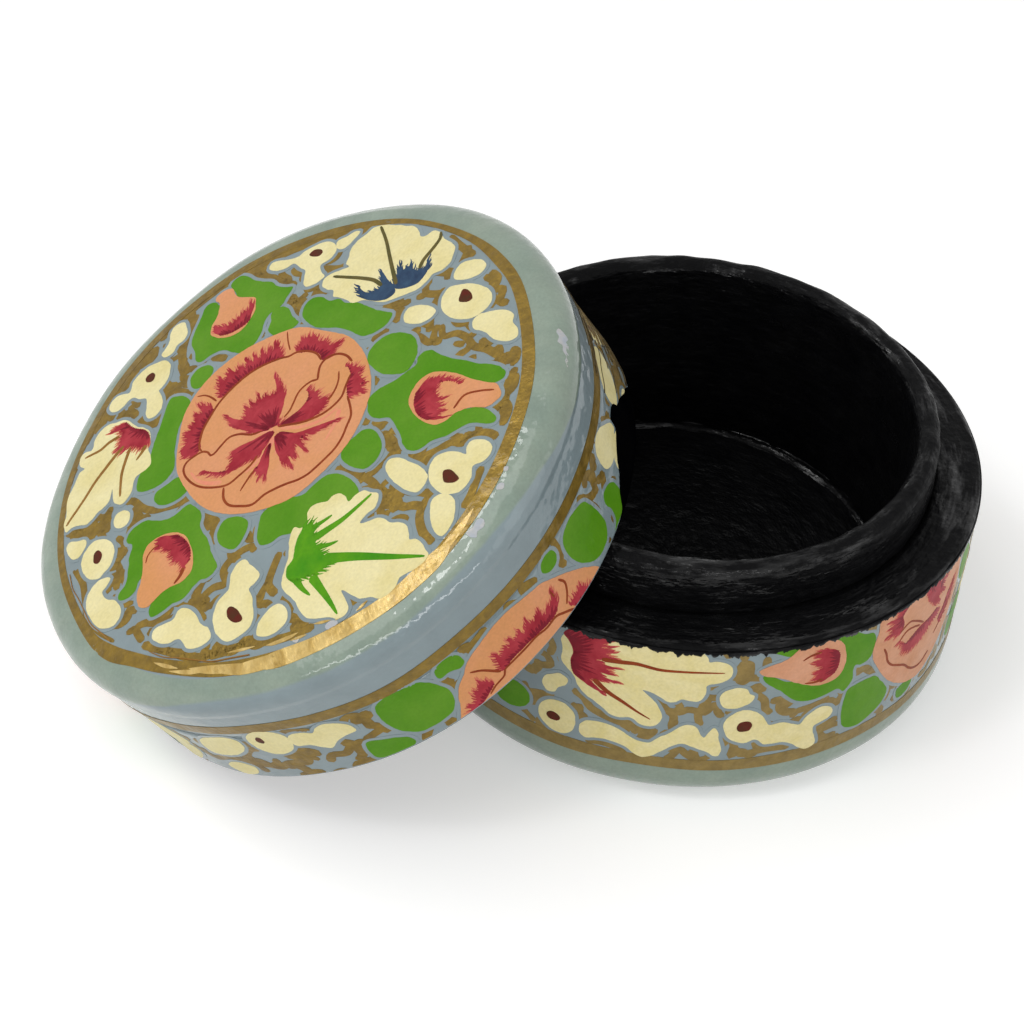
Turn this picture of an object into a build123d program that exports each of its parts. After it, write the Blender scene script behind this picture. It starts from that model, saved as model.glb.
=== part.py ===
"""Round papier-mache box, seen open: the base stands level and its lid leans on it."""
from build123d import *
from math import cos, hypot, pi, radians, sin
import os

# All lengths in millimetres. The origin is the centre of the underside of the base,
# +Z is up, and the lid leans away from the base towards -X.

# Base
base_radius = 38.0
ledge_height = 27.5
wall_thickness = 6.15
wall_edge_round = 0.6
bottom_height = 6.8
bottom_thickness = 4.1
bottom_corner = 4.9
collar_thickness = 3.0
collar_rise = 7.0
floor_thickness = 1.8
floor_edge_round = 0.5

# Lid, measured up from its rim
lid_height = 20.3
lid_setback = 0.6
lid_seam_height = 10.1
lid_top_thickness = 3.6
bead_overhang = 0.65
shoulder_round = 3.3
dome_rise = 0.4
ceiling_round = 1.5
rim_inner_round = 1.8
rim_outer_round = 0.8

# Fits
glue_gap = 0.1
floor_gap = 0.25
lid_play = 1.35
lean_gap = 0.3

# How the lid leans: its axis is turned this far from upright
lid_tilt_deg = 33.8

wall_inner_radius = base_radius - wall_thickness
collar_outer_radius = wall_inner_radius - glue_gap
collar_inner_radius = collar_outer_radius - collar_thickness
collar_top = ledge_height + collar_rise
lid_wall_radius = base_radius - lid_setback
lid_inner_radius = collar_outer_radius + lid_play
bead_radius = lid_wall_radius + bead_overhang
lid_ceiling = lid_height - lid_top_thickness


def turned(*lines):
    """A solid turned about Z from a closed outline of (radius, height) lines."""
    return revolve(Plane.XZ * make_face(lines), Axis.Z)


def base_bottom():
    """Moulded dish with a rounded outer corner; its raised edge carries the wall."""
    corner = min(bottom_corner, bottom_height - wall_edge_round)
    return turned(
        Line((0, 0), (base_radius - corner, 0)),
        CenterArc((base_radius - corner, corner), corner, -90, 90),
        Line((base_radius, corner), (base_radius, bottom_height)),
        Line((base_radius, bottom_height), (wall_inner_radius, bottom_height)),
        Line((wall_inner_radius, bottom_height), (wall_inner_radius, bottom_thickness)),
        Line((wall_inner_radius, bottom_thickness), (0, bottom_thickness)),
        Line((0, bottom_thickness), (0, 0)),
    )


def base_wall():
    """Tube that stands on the dish; its top is the ledge that a closed lid lands on."""
    edge = wall_edge_round
    return turned(
        Line((wall_inner_radius, bottom_height), (base_radius, bottom_height)),
        Line((base_radius, bottom_height), (base_radius, ledge_height - edge)),
        CenterArc((base_radius - edge, ledge_height - edge), edge, 0, 90),
        Line((base_radius - edge, ledge_height), (wall_inner_radius, ledge_height)),
        Line((wall_inner_radius, ledge_height), (wall_inner_radius, bottom_height)),
    )


def collar_sleeve():
    """Thin sleeve glued inside the wall; its half-round top stands above the ledge."""
    crown = collar_thickness / 2
    crown_radius = collar_inner_radius + crown
    side_top = collar_top - crown
    return turned(
        Line((collar_inner_radius, bottom_thickness), (collar_outer_radius, bottom_thickness)),
        Line((collar_outer_radius, bottom_thickness), (collar_outer_radius, side_top)),
        CenterArc((crown_radius, side_top), crown, 0, 180),
        Line((collar_inner_radius, side_top), (collar_inner_radius, bottom_thickness)),
    )


def floor_disc():
    """Disc laid on the dish inside the sleeve, with a softened upper edge."""
    edge = floor_edge_round
    radius = collar_inner_radius - floor_gap
    top = bottom_thickness + floor_thickness
    return turned(
        Line((0, bottom_thickness), (radius, bottom_thickness)),
        Line((radius, bottom_thickness), (radius, top - edge)),
        CenterArc((radius - edge, top - edge), edge, 0, 90),
        Line((radius - edge, top), (0, top)),
        Line((0, top), (0, bottom_thickness)),
    )


def lid_cap():
    """Moulded cap: slightly domed top, rounded shoulder, sides drawn in to the seam."""
    bead_height = lid_height - shoulder_round
    dome_edge = bead_radius - shoulder_round
    curve = ceiling_round
    return turned(
        Line((0, lid_ceiling), (0, lid_height + dome_rise)),
        ThreePointArc((0, lid_height + dome_rise),
                      (dome_edge / 2, lid_height + dome_rise * 3 / 4), (dome_edge, lid_height)),
        CenterArc((dome_edge, bead_height), shoulder_round, 0, 90),
        TangentArc((bead_radius, bead_height), (lid_wall_radius, lid_seam_height), tangent=(0, -1)),
        Line((lid_wall_radius, lid_seam_height), (lid_inner_radius, lid_seam_height)),
        Line((lid_inner_radius, lid_seam_height), (lid_inner_radius, lid_ceiling - curve)),
        CenterArc((lid_inner_radius - curve, lid_ceiling - curve), curve, 0, 90),
        Line((lid_inner_radius - curve, lid_ceiling), (0, lid_ceiling)),
    )


def lid_wall():
    """Tube glued under the cap; both edges of its rim are rounded."""
    inner = lid_inner_radius
    outer = lid_wall_radius
    return turned(
        Line((inner + rim_inner_round, 0), (outer - rim_outer_round, 0)),
        CenterArc((outer - rim_outer_round, rim_outer_round), rim_outer_round, -90, 90),
        Line((outer, rim_outer_round), (outer, lid_seam_height)),
        Line((outer, lid_seam_height), (inner, lid_seam_height)),
        Line((inner, lid_seam_height), (inner, rim_inner_round)),
        CenterArc((inner + rim_inner_round, rim_inner_round), rim_inner_round, 180, 90),
    )


def corner_distance(inward, upward, rounding):
    """Distance to a wall with a rounded corner, from lengths past its face and its end."""
    across = inward + rounding
    along = upward + rounding
    if across < 0 and along < 0:
        return max(across, along) - rounding
    return hypot(max(across, 0), max(along, 0)) - rounding


def lid_clearance(lid_x, lid_z, ring_radius, ring_height, tube_radius):
    """Least distance from the lid's wall to a level ring of round section on the base."""
    tilt = radians(lid_tilt_deg)
    least = base_radius
    for step in range(361):
        turn = step * pi / 360
        along_x = ring_radius * cos(turn) - lid_x
        rise = ring_height - lid_z
        height = rise * cos(tilt) - along_x * sin(tilt)
        radius = hypot(rise * sin(tilt) + along_x * cos(tilt), ring_radius * sin(turn))
        inside = corner_distance(lid_inner_radius - radius, -height, rim_inner_round)
        outside = corner_distance(radius - lid_wall_radius, -height, rim_outer_round)
        least = min(least, max(inside, outside) - tube_radius)
    return least


def lid_place():
    """Centre of the leaning lid's rim: rim on the table, wall lean_gap off the base."""
    tilt = radians(lid_tilt_deg)
    lid_z = (lid_wall_radius - rim_outer_round) * sin(tilt) + rim_outer_round * (1 - cos(tilt))
    crown = collar_thickness / 2
    collar_ring = (collar_inner_radius + crown, collar_top - crown, crown)
    wall_ring = (base_radius - wall_edge_round, ledge_height - wall_edge_round, wall_edge_round)
    clear_x = -(base_radius + lid_wall_radius + lid_height)
    touching_x = 0
    while touching_x - clear_x > 0.001:
        middle = (clear_x + touching_x) / 2
        gaps = [lid_clearance(middle, lid_z, *ring) for ring in (collar_ring, wall_ring)]
        if min(gaps) > lean_gap:
            clear_x = middle
        else:
            touching_x = middle
    return clear_x, lid_z


lid_x, lid_z = lid_place()
leaning = Location((lid_x, 0, lid_z), (0, -lid_tilt_deg, 0))
nodes = {
    "base_bottom": base_bottom(),
    "base_wall": base_wall(),
    "collar_sleeve": collar_sleeve(),
    "floor_disc": floor_disc(),
    "lid_cap": leaning * lid_cap(),
    "lid_wall": leaning * lid_wall(),
}

os.makedirs("parts", exist_ok=True)
for name, solid in nodes.items():
    export_step(solid, f"parts/{name}.step")
print(f"lid rim centre at x {lid_x:.3f}, z {lid_z:.3f}")
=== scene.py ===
"""Round papier-mache box with painted flowers, its lid leaning on the open base."""
import random
from math import atan2, ceil, cos, degrees, exp, floor, hypot, pi, radians, sin, sqrt

import bmesh
import bpy
from mathutils import Matrix, Vector, noise
from mathutils.geometry import interpolate_bezier


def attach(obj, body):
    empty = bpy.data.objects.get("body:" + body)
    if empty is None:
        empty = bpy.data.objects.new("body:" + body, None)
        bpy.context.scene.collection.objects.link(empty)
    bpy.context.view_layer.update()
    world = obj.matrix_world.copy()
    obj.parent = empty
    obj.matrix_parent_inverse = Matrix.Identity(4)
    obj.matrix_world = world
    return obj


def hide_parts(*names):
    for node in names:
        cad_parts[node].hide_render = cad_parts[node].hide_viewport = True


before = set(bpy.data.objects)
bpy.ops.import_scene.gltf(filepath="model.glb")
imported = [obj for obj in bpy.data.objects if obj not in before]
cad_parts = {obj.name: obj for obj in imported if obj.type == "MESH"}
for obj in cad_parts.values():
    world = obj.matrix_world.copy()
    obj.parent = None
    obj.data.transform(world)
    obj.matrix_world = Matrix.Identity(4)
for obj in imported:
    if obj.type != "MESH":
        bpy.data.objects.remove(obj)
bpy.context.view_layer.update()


# ---- Base dish ---------------------------------------------------------------------
# The bottom of the box: a moulded bowl of pressed paper pulp with a rounded corner.
# Its outside carries the blue-grey ground paint, and the wall is glued on its edge.
# Sizes in this file are millimetres; every mesh is brought to metres as it is finished.
MILLIMETRE = 0.001
base_radius = 38.0
wall_inner_radius = 31.85
dish_height = 6.8
dish_floor_height = 4.1
dish_corner = 4.9
turning_steps = 264


def hand_unevenness(spot, depth, period):
    """How far the moulded paper stands off a true turned surface at this spot."""
    return depth * noise.noise(Vector(spot) / period)


def straight(start, end, step=1.4):
    """Points from start up to, but not on, end."""
    count = max(1, ceil(hypot(end[0] - start[0], end[1] - start[1]) / step))
    return [(start[0] + (end[0] - start[0]) * i / count,
             start[1] + (end[1] - start[1]) * i / count) for i in range(count)]


def rounded(centre, radius, start, end, steps=8):
    """Points along an arc, in degrees, up to but not on its end."""
    return [(centre[0] + radius * cos(radians(start + (end - start) * i / steps)),
             centre[1] + radius * sin(radians(start + (end - start) * i / steps)))
            for i in range(steps)]


def turned_piece(name, outline, body, node, materials, depth, period, place=Matrix(),
                 lacquered=None, pressed=None):
    """A piece spun from its section, made uneven by hand, that stands for a CAD node."""
    shell = bmesh.new()
    section = [shell.verts.new((radius, 0, height)) for radius, height in outline]
    for here, there in zip(section, section[1:] + section[:1]):
        if here.co.x + there.co.x > 0:
            shell.edges.new((here, there))
    bmesh.ops.spin(shell, geom=shell.verts[:] + shell.edges[:], axis=(0, 0, 1), cent=(0, 0, 0),
                   angle=2 * pi, steps=turning_steps, use_merge=True)
    bmesh.ops.remove_doubles(shell, verts=shell.verts[:], dist=0.001)
    bmesh.ops.recalc_face_normals(shell, faces=shell.faces[:])
    shell.normal_update()
    outward = [vert.normal * hand_unevenness(vert.co, depth, period) for vert in shell.verts]
    for face in shell.faces:
        face.smooth = True
        if lacquered and lacquered(face.calc_center_median(), face.normal):
            face.material_index = 1
    for vert, move in zip(shell.verts, outward):
        vert.co += move + (pressed(vert.co) if pressed else Vector())
    finished_piece(name, shell, body, materials, place, node)


def finished_piece(name, made, body, materials, place=Matrix(), node=None):
    """Brings a bmesh in millimetres to metres in the shared frame, as a dressed object."""
    bmesh.ops.transform(made, matrix=Matrix.Scale(MILLIMETRE, 4) @ place, verts=made.verts[:])
    mesh = bpy.data.meshes.new(name)
    made.to_mesh(mesh)
    made.free()
    piece = bpy.data.objects.new(name, mesh)
    bpy.context.scene.collection.objects.link(piece)
    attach(piece, body)
    if node:
        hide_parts(node)
    for material in materials:
        mesh.materials.append(material)


def colour(red, green, blue):
    """A colour as it is read on a screen, made linear."""
    parts = [part / 255 for part in (red, green, blue)]
    return tuple(p / 12.92 if p <= 0.04045 else ((p + 0.055) / 1.055) ** 2.4
                 for p in parts) + (1.0,)


def joined(tree, kind, settings=None, **sockets):
    """A node with its settings, and its inputs set to values or linked to outputs."""
    made = tree.nodes.new(kind)
    for key, value in (settings or {}).items():
        setattr(made, key, value)
    for key, value in sockets.items():
        socket = made.inputs[int(key[1:])] if key[0] == "i" and key[1:].isdigit() \
            else made.inputs[key.replace("_", " ")]
        if isinstance(value, bpy.types.NodeSocket):
            tree.links.new(value, socket)
        else:
            socket.default_value = value
    return made


def new_group(name, inputs, outputs):
    """An empty shader node group with named sockets."""
    group = bpy.data.node_groups.new(name, "ShaderNodeTree")
    for label, kind, value in inputs:
        socket = group.interface.new_socket(name=label, in_out="INPUT", socket_type=kind)
        if value is not None:
            socket.default_value = value
    for label, kind in outputs:
        group.interface.new_socket(name=label, in_out="OUTPUT", socket_type=kind)
    return group, group.nodes.new("NodeGroupInput"), group.nodes.new("NodeGroupOutput")


def maths(tree, operation, *values):
    """What a maths node puts out, from its operation and its inputs in order."""
    return joined(tree, "ShaderNodeMath", {"operation": operation},
                  **{f"i{place}": value for place, value in enumerate(values)}).outputs[0]


def vector_maths(tree, operation, *values):
    """What a vector maths node puts out; SCALE takes a vector and its scale."""
    names = ("Vector", "Scale") if operation == "SCALE" else ("i0", "i1", "i2")
    made = joined(tree, "ShaderNodeVectorMath", {"operation": operation},
                  **dict(zip(names, values)))
    return made.outputs["Value" if operation == "LENGTH" else "Vector"]


def spread(tree, value, low, high, out_low=0.0, out_high=1.0, way="LINEAR"):
    """The value spread from low and high to two others, and held between them."""
    return joined(tree, "ShaderNodeMapRange", {"clamp": True, "interpolation_type": way},
                  Value=value, i1=low, i2=high, i3=out_low, i4=out_high).outputs[0]


def cloudy(tree, place, scale, detail, **more):
    """Noise at this scale, as a value about a half."""
    return joined(tree, "ShaderNodeTexNoise", Vector=place, Scale=scale, Detail=detail,
                  **more).outputs["Fac"]


def lumpy(tree, height, strength, depth):
    """A bump of this depth in millimetres."""
    return joined(tree, "ShaderNodeBump", Height=height, Strength=strength,
                  Distance=depth * MILLIMETRE).outputs[0]


def hand_brushed():
    """Colour laid on by brush: streaks of two tones, thin spots, and a raised grain."""
    group, given, out = new_group(
        "hand_brushed",
        [("Vector", "NodeSocketVector", None), ("Full", "NodeSocketColor", None),
         ("Thin", "NodeSocketColor", None), ("Streak Scale", "NodeSocketFloat", 300.0)],
        [("Colour", "NodeSocketColor"), ("Height", "NodeSocketFloat")])
    place = given.outputs["Vector"]
    streaks = cloudy(group, place, given.outputs["Streak Scale"], 4.0, Roughness=0.6,
                     Distortion=0.3)
    pulp = cloudy(group, place, 2600.0, 2.0)
    tone = joined(group, "ShaderNodeMix", {"data_type": "RGBA"},
                  i0=spread(group, streaks, 0.32, 0.68), i6=given.outputs["Full"],
                  i7=given.outputs["Thin"]).outputs[2]
    final = vector_maths(group, "SCALE", tone, spread(group, pulp, 0.3, 0.7, 0.94, 1.04))
    group.links.new(final, out.inputs["Colour"])
    group.links.new(maths(group, "MULTIPLY_ADD", pulp, 0.35, streaks), out.inputs["Height"])
    return group


brushed = hand_brushed()
# The lid leans back from the base: the centre of its rim, and how far its axis is turned
lid_rim_centre = (-41.537, 0, 20.496)
lid_tilt_deg = 33.8
lean = Matrix.Translation(lid_rim_centre) @ Matrix.Rotation(radians(-lid_tilt_deg), 4, "Y")


def placed_coordinates(tree, leaning):
    """Object coordinates, or the lid's own coordinates where the paint follows the lid."""
    place = joined(tree, "ShaderNodeTexCoord").outputs["Object"]
    if leaning:
        mapped = joined(tree, "ShaderNodeMapping", {"vector_type": "TEXTURE"}, Vector=place)
        mapped.inputs["Location"].default_value = lean.translation * MILLIMETRE
        mapped.inputs["Rotation"].default_value = lean.to_euler()
        place = mapped.outputs[0]
    return place


def varnished(name, full, thin, streak=300.0, roughness=0.42, coat=0.1, coat_roughness=0.12,
              metallic=0.0, bump=0.05, stretch=(1, 1, 1), leaning=False, specular=0.08,
              own_relief=()):
    """A hand-painted colour under clear varnish, with a grain bump millimetres deep.

    own_relief names the normals that get a relief of their own instead.
    """
    material = bpy.data.materials.new(name)
    material.use_nodes = True
    tree = material.node_tree
    shader = tree.nodes["Principled BSDF"]
    place = placed_coordinates(tree, leaning)
    stretched = joined(tree, "ShaderNodeMapping", Vector=place)
    stretched.inputs["Scale"].default_value = stretch
    paint = joined(tree, "ShaderNodeGroup", {"node_tree": brushed},
                   Vector=stretched.outputs[0], Full=colour(*full), Thin=colour(*thin),
                   Streak_Scale=streak)
    ripple = cloudy(tree, place, 420.0, 2.0)
    gloss = spread(tree, ripple, 0.3, 0.7, roughness - 0.06, roughness + 0.08)
    tree.links.new(paint.outputs["Colour"], shader.inputs["Base Color"])
    tree.links.new(gloss, shader.inputs["Roughness"])
    if "Normal" not in own_relief:
        grain = maths(tree, "MULTIPLY_ADD", ripple, 1.6, paint.outputs["Height"])
        tree.links.new(lumpy(tree, grain, 0.5, bump), shader.inputs["Normal"])
    if "Coat Normal" not in own_relief:
        tree.links.new(lumpy(tree, ripple, 0.5, 2 * bump), shader.inputs["Coat Normal"])
    shader.inputs["Metallic"].default_value = metallic
    shader.inputs["Coat Weight"].default_value = coat
    shader.inputs["Coat Roughness"].default_value = coat_roughness
    shader.inputs["Specular IOR Level"].default_value = specular
    return material


def ground_paint(name, leaning, blue_between, blue_within=None, front_climb=0.0):
    """The ground coat: grey-green on the edges and shoulders, bluer among the flowers."""
    material = varnished(name, (125, 142, 129), (137, 151, 136), streak=160.0,
                         roughness=0.4, coat=0.8, coat_roughness=0.07, leaning=leaning,
                         bump=0.15, own_relief=("Coat Normal",))
    tree = material.node_tree
    paint = next(node for node in tree.nodes if node.type == "GROUP")
    place = placed_coordinates(tree, leaning)
    split = joined(tree, "ShaderNodeSeparateXYZ", Vector=place)
    height = maths(tree, "MULTIPLY_ADD", cloudy(tree, place, 90.0, 3.0), 0.9 * MILLIMETRE,
                   split.outputs["Z"])
    climb = spread(tree, split.outputs["Y"], -34 * MILLIMETRE, -12 * MILLIMETRE,
                   front_climb * MILLIMETRE, 0.0, "SMOOTHSTEP")
    low, high = (edge * MILLIMETRE for edge in blue_between)
    soft = 0.16 * MILLIMETRE
    blue = maths(tree, "MULTIPLY", spread(tree, height, low - soft, low + soft),
                 spread(tree, maths(tree, "SUBTRACT", height, climb), high + soft, high - soft))
    if blue_within:
        across, along, reach = blue_within
        moved = vector_maths(tree, "SUBTRACT", place,
                             (across * MILLIMETRE, along * MILLIMETRE, 0))
        out = vector_maths(tree, "LENGTH", vector_maths(tree, "MULTIPLY", moved, (1, 1, 0)))
        blue = maths(tree, "MAXIMUM", maths(tree, "LESS_THAN", out, reach * MILLIMETRE), blue)
    blend = joined(tree, "ShaderNodeMix", {"data_type": "RGBA"}, i0=blue,
                   i6=paint.outputs["Colour"], i7=colour(126, 141, 145)).outputs[2]
    uneven = spread(tree, cloudy(tree, place, 240.0, 4.0), 0.3, 0.7, 0.92, 1.06)
    runs = cloudy(tree, place, 260.0, 2.5, Roughness=0.6)
    shader = tree.nodes["Principled BSDF"]
    tree.links.new(lumpy(tree, runs, 1.0, 0.3), shader.inputs["Coat Normal"])
    tree.links.new(vector_maths(tree, "SCALE", blend, uneven), shader.inputs["Base Color"])
    return material


def black_lacquer(name, leaning, gloss=0.7):
    """Thick black lacquer brushed round over rough pulp, with a glassy skin in broken lines."""
    relieved = ("Normal", "Coat Normal")
    material = varnished(name, (3, 3, 4), (8, 8, 9), streak=220.0, roughness=0.5,
                         coat_roughness=0.1, specular=0.06, leaning=leaning,
                         own_relief=relieved)
    tree = material.node_tree
    shader = tree.nodes["Principled BSDF"]
    place = placed_coordinates(tree, leaning)
    level = vector_maths(tree, "MULTIPLY", place, (1, 1, 0))
    upright = vector_maths(tree, "MULTIPLY", place, (0, 0, 1))
    # Places that stay alike along the brush's way round, and change across it
    round_way = vector_maths(tree, "MULTIPLY_ADD", vector_maths(tree, "NORMALIZE", level),
                             (0.008, 0.008, 0), upright)
    out = vector_maths(tree, "LENGTH", level)

    def brushed_round(scale, detail, roughness):
        return joined(tree, "ShaderNodeTexNoise", {"noise_dimensions": "4D"}, Vector=round_way,
                      W=out, Scale=scale, Detail=detail, Roughness=roughness).outputs["Fac"]

    grit = joined(tree, "ShaderNodeTexVoronoi", {"feature": "SMOOTH_F1"}, Vector=place,
                  Scale=900.0)
    rough_pulp = maths(tree, "MULTIPLY_ADD", grit.outputs["Distance"], -0.25,
                       cloudy(tree, place, 420.0, 3.0, Roughness=0.55))
    relief = lumpy(tree, maths(tree, "ADD", rough_pulp, brushed_round(800.0, 3.0, 0.6)), 0.9, 0.4)
    for socket in relieved:
        tree.links.new(relief, shader.inputs[socket])
    skin = spread(tree, brushed_round(520.0, 5.0, 0.65), 0.49, 0.65, 0.01, gloss)
    tree.links.new(skin, shader.inputs["Coat Weight"])
    return material


lacquer = black_lacquer("black_lacquer", False)
base_ground = ground_paint("base_ground_paint", False, (7.4, 40))
dish_outline = (
    straight((0, 0), (base_radius - dish_corner, 0), 3)
    + rounded((base_radius - dish_corner, dish_corner), dish_corner, -90, 0, 10)
    + straight((base_radius, dish_corner), (base_radius, dish_height))
    + straight((base_radius, dish_height), (wall_inner_radius, dish_height), 3)
    + straight((wall_inner_radius, dish_height), (wall_inner_radius, dish_floor_height))
    + straight((wall_inner_radius, dish_floor_height), (0, dish_floor_height), 5)
    + [(0, dish_floor_height)])
paint_depth = 0.1
paint_period = 13.0
turned_piece("base_dish", dish_outline, "base", "base_bottom", [base_ground],
             paint_depth, paint_period)


# ---- Base wall ---------------------------------------------------------------------
# A tube of rolled and pressed paper that stands on the dish. The flowers are painted
# on it, and its level top is the black ledge that the closed lid comes down on.
ledge_height = 27.5
ledge_round = 0.6


def on_ledge(centre, normal):
    """True on the ledge and inside the wall, which are lacquered."""
    return centre.z > ledge_height - ledge_round or hypot(centre.x, centre.y) < base_radius - 1


wall_outline = (
    straight((base_radius, dish_height), (base_radius, ledge_height - ledge_round))
    + rounded((base_radius - ledge_round, ledge_height - ledge_round), ledge_round, 0, 90, 5)
    + straight((base_radius - ledge_round, ledge_height), (wall_inner_radius, ledge_height), 0.9)
    + straight((wall_inner_radius, ledge_height), (wall_inner_radius, dish_height))
    + straight((wall_inner_radius, dish_height), (base_radius, dish_height), 3))
turned_piece("base_tube", wall_outline, "base", "base_wall",
             [base_ground, lacquer], paint_depth, paint_period, lacquered=on_ledge)


# ---- Collar ------------------------------------------------------------------------
# A thin paper sleeve glued inside the wall. Its rounded top stands above the ledge and
# holds the lid. The black lacquer lies on it in lumps, where the brush went round.
collar_outer_radius = 31.75
collar_inner_radius = 28.75
collar_top = 34.5
crown = (collar_outer_radius - collar_inner_radius) / 2
lacquer_depth = 0.22
lacquer_period = 3.4
collar_outline = (
    straight((collar_inner_radius, dish_floor_height), (collar_outer_radius, dish_floor_height))
    + straight((collar_outer_radius, dish_floor_height), (collar_outer_radius, collar_top - crown),
               1.1)
    + rounded((collar_inner_radius + crown, collar_top - crown), crown, 0, 180, 10)
    + straight((collar_inner_radius, collar_top - crown), (collar_inner_radius, dish_floor_height),
               1.4))
turned_piece("collar", collar_outline, "base", "collar_sleeve", [lacquer],
             lacquer_depth, lacquer_period)


# ---- Floor liner -------------------------------------------------------------------
# A disc of the same paper laid on the dish inside the sleeve and lacquered with it. Its
# lacquer is thinner and duller than the sleeve's.
liner_radius = 28.5
liner_top = 5.9
liner_round = 0.5
liner_outline = (
    straight((0, dish_floor_height), (liner_radius, dish_floor_height), 4)
    + straight((liner_radius, dish_floor_height), (liner_radius, liner_top - liner_round))
    + rounded((liner_radius - liner_round, liner_top - liner_round), liner_round, 0, 90, 5)
    + straight((liner_radius - liner_round, liner_top), (0, liner_top), 1.6)
    + [(0, liner_top)])
liner_lacquer = black_lacquer("floor_black_lacquer", False, gloss=0.22)
turned_piece("floor_liner", liner_outline, "base", "floor_disc",
             [liner_lacquer], depth=0.12, period=5.5)


# ---- Pooled lacquer ----------------------------------------------------------------
# Lacquer that ran together in the corner between the floor and the sleeve, and set there
# in a small hollow curve. It catches a thin line of light.
pool_reach = 0.9
pool_in_sleeve = 0.3
pool_in_floor = 0.2
pool_inner_radius = collar_inner_radius - pool_reach
pool_outline = (
    [(collar_inner_radius + pool_in_sleeve, liner_top - pool_in_floor),
     (collar_inner_radius + pool_in_sleeve, liner_top + pool_reach)]
    + rounded((pool_inner_radius, liner_top + pool_reach), pool_reach, 0, -90, 6)
    + [(pool_inner_radius, liner_top), (pool_inner_radius, liner_top - pool_in_floor)])
turned_piece("lacquer_pool", pool_outline, "base", None, [lacquer],
             depth=0.16, period=4.5)


# ---- Flowers on the base wall ------------------------------------------------------
# Painted by brush in opaque colours, each a thin raised coat: gold lines and scrolls
# first, then leaves, petals, their crimson shading and the fine lines. They are set out
# flat, as millimetres round the wall and up it, and the group goes round three times.
front = radians(-113.1)
sunk = 0.06
brush_chance = random.Random(11)


def smoothed(points, closed=True, step=0.5):
    """The brush's line through the points, as an even curve without kinks."""
    spots = [Vector((*point, 0)) if len(point) == 2 else Vector(point) for point in points]
    count = len(spots)
    line = []
    for i in range(count if closed else count - 1):
        start, end = spots[i], spots[(i + 1) % count]
        before = spots[i - 1] if closed or i else start * 2 - end
        after = spots[(i + 2) % count] if closed or i + 2 < count else end * 2 - start
        inward, along, outward = (max((b - a).length, 0.01) for a, b in
                                  ((before, start), (start, end), (end, after)))
        d1, d2, d3 = sqrt(inward), sqrt(along), sqrt(outward)
        leave = (inward * end - along * before + (2 * inward + 3 * d1 * d2 + along) * start) \
            / (3 * d1 * (d1 + d2))
        arrive = (outward * start - along * after + (2 * outward + 3 * d3 * d2 + along) * end) \
            / (3 * d3 * (d3 + d2))
        steps = max(2, ceil(along / step))
        line += interpolate_bezier(start, leave, arrive, end, steps + 1)[:-1]
    return line if closed else line + [spots[-1]]


def brushed_edge(spot, depth=0.07, period=0.7):
    """A point of an outline, moved a little as the brush's edge strays."""
    return spot + depth * Vector((noise.noise(spot / period), noise.noise(-spot / period), 0))


def filled(sheet, outline):
    """A filled brush shape; returns what it added to the flat sheet of paint."""
    edge = [brushed_edge(spot) for spot in smoothed(outline, step=0.35)]
    face = sheet.faces.new([sheet.verts.new((spot.x, spot.y, 0)) for spot in edge])
    face.normal_update()
    if face.normal.z < 0:
        face.normal_flip()
    edges = list(face.edges)
    made = bmesh.ops.triangulate(sheet, faces=[face])
    corners = (vert for edge in edges for vert in edge.verts)
    return made["faces"] + list(dict.fromkeys([*edges, *made["edges"], *corners]))


def turns_left(spots):
    """True if a closed outline runs anticlockwise."""
    return sum(a.x * b.y - b.x * a.y for a, b in zip(spots, spots[1:] + spots[:1])) > 0


def feathers(outline, root, reach, width=0.3):
    """Fine tapering hairs left by the brush where a shape's edge faces away from its root."""
    spots = smoothed(outline, step=0.34)
    side = 1 if turns_left(spots) else -1
    strokes = []
    for before, spot, after in zip(spots, spots[1:] + spots[:1], spots[2:] + spots[:2]):
        away = Vector((spot.x - root[0], spot.y - root[1])).normalized()
        facing = Vector((after.y - before.y, before.x - after.x)).normalized() * side
        if away.dot(facing) > 0.3:
            length = reach * brush_chance.uniform(0.25, 1)
            bend = Vector((-away.y, away.x)) * brush_chance.uniform(-0.18, 0.18)
            start = spot.to_2d() - away * 0.4
            middle = spot.to_2d() + away * length * 0.5 + bend
            strokes.append((width, 0.05, [tuple(start), tuple(middle),
                                          tuple(spot.to_2d() + away * length)]))
    return strokes


def lies_within(spot, outlines):
    """True for a spot inside one of the outlines."""
    for outline in outlines:
        inside = False
        for (x0, y0), (x1, y1) in zip(outline, outline[1:] + outline[:1]):
            if (y0 > spot[1]) != (y1 > spot[1]):
                inside ^= spot[0] < x0 + (spot[1] - y0) * (x1 - x0) / (y1 - y0)
        if inside:
            return True
    return False


def fringe(shapes, roots, petals, reach, width=0.3):
    """The hairs of several shapes, kept within their petals."""
    return [hair for shape, root in zip(shapes, roots)
            for hair in feathers(shape, root, reach, width=width)
            if lies_within(hair[2][-1], petals)]


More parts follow.
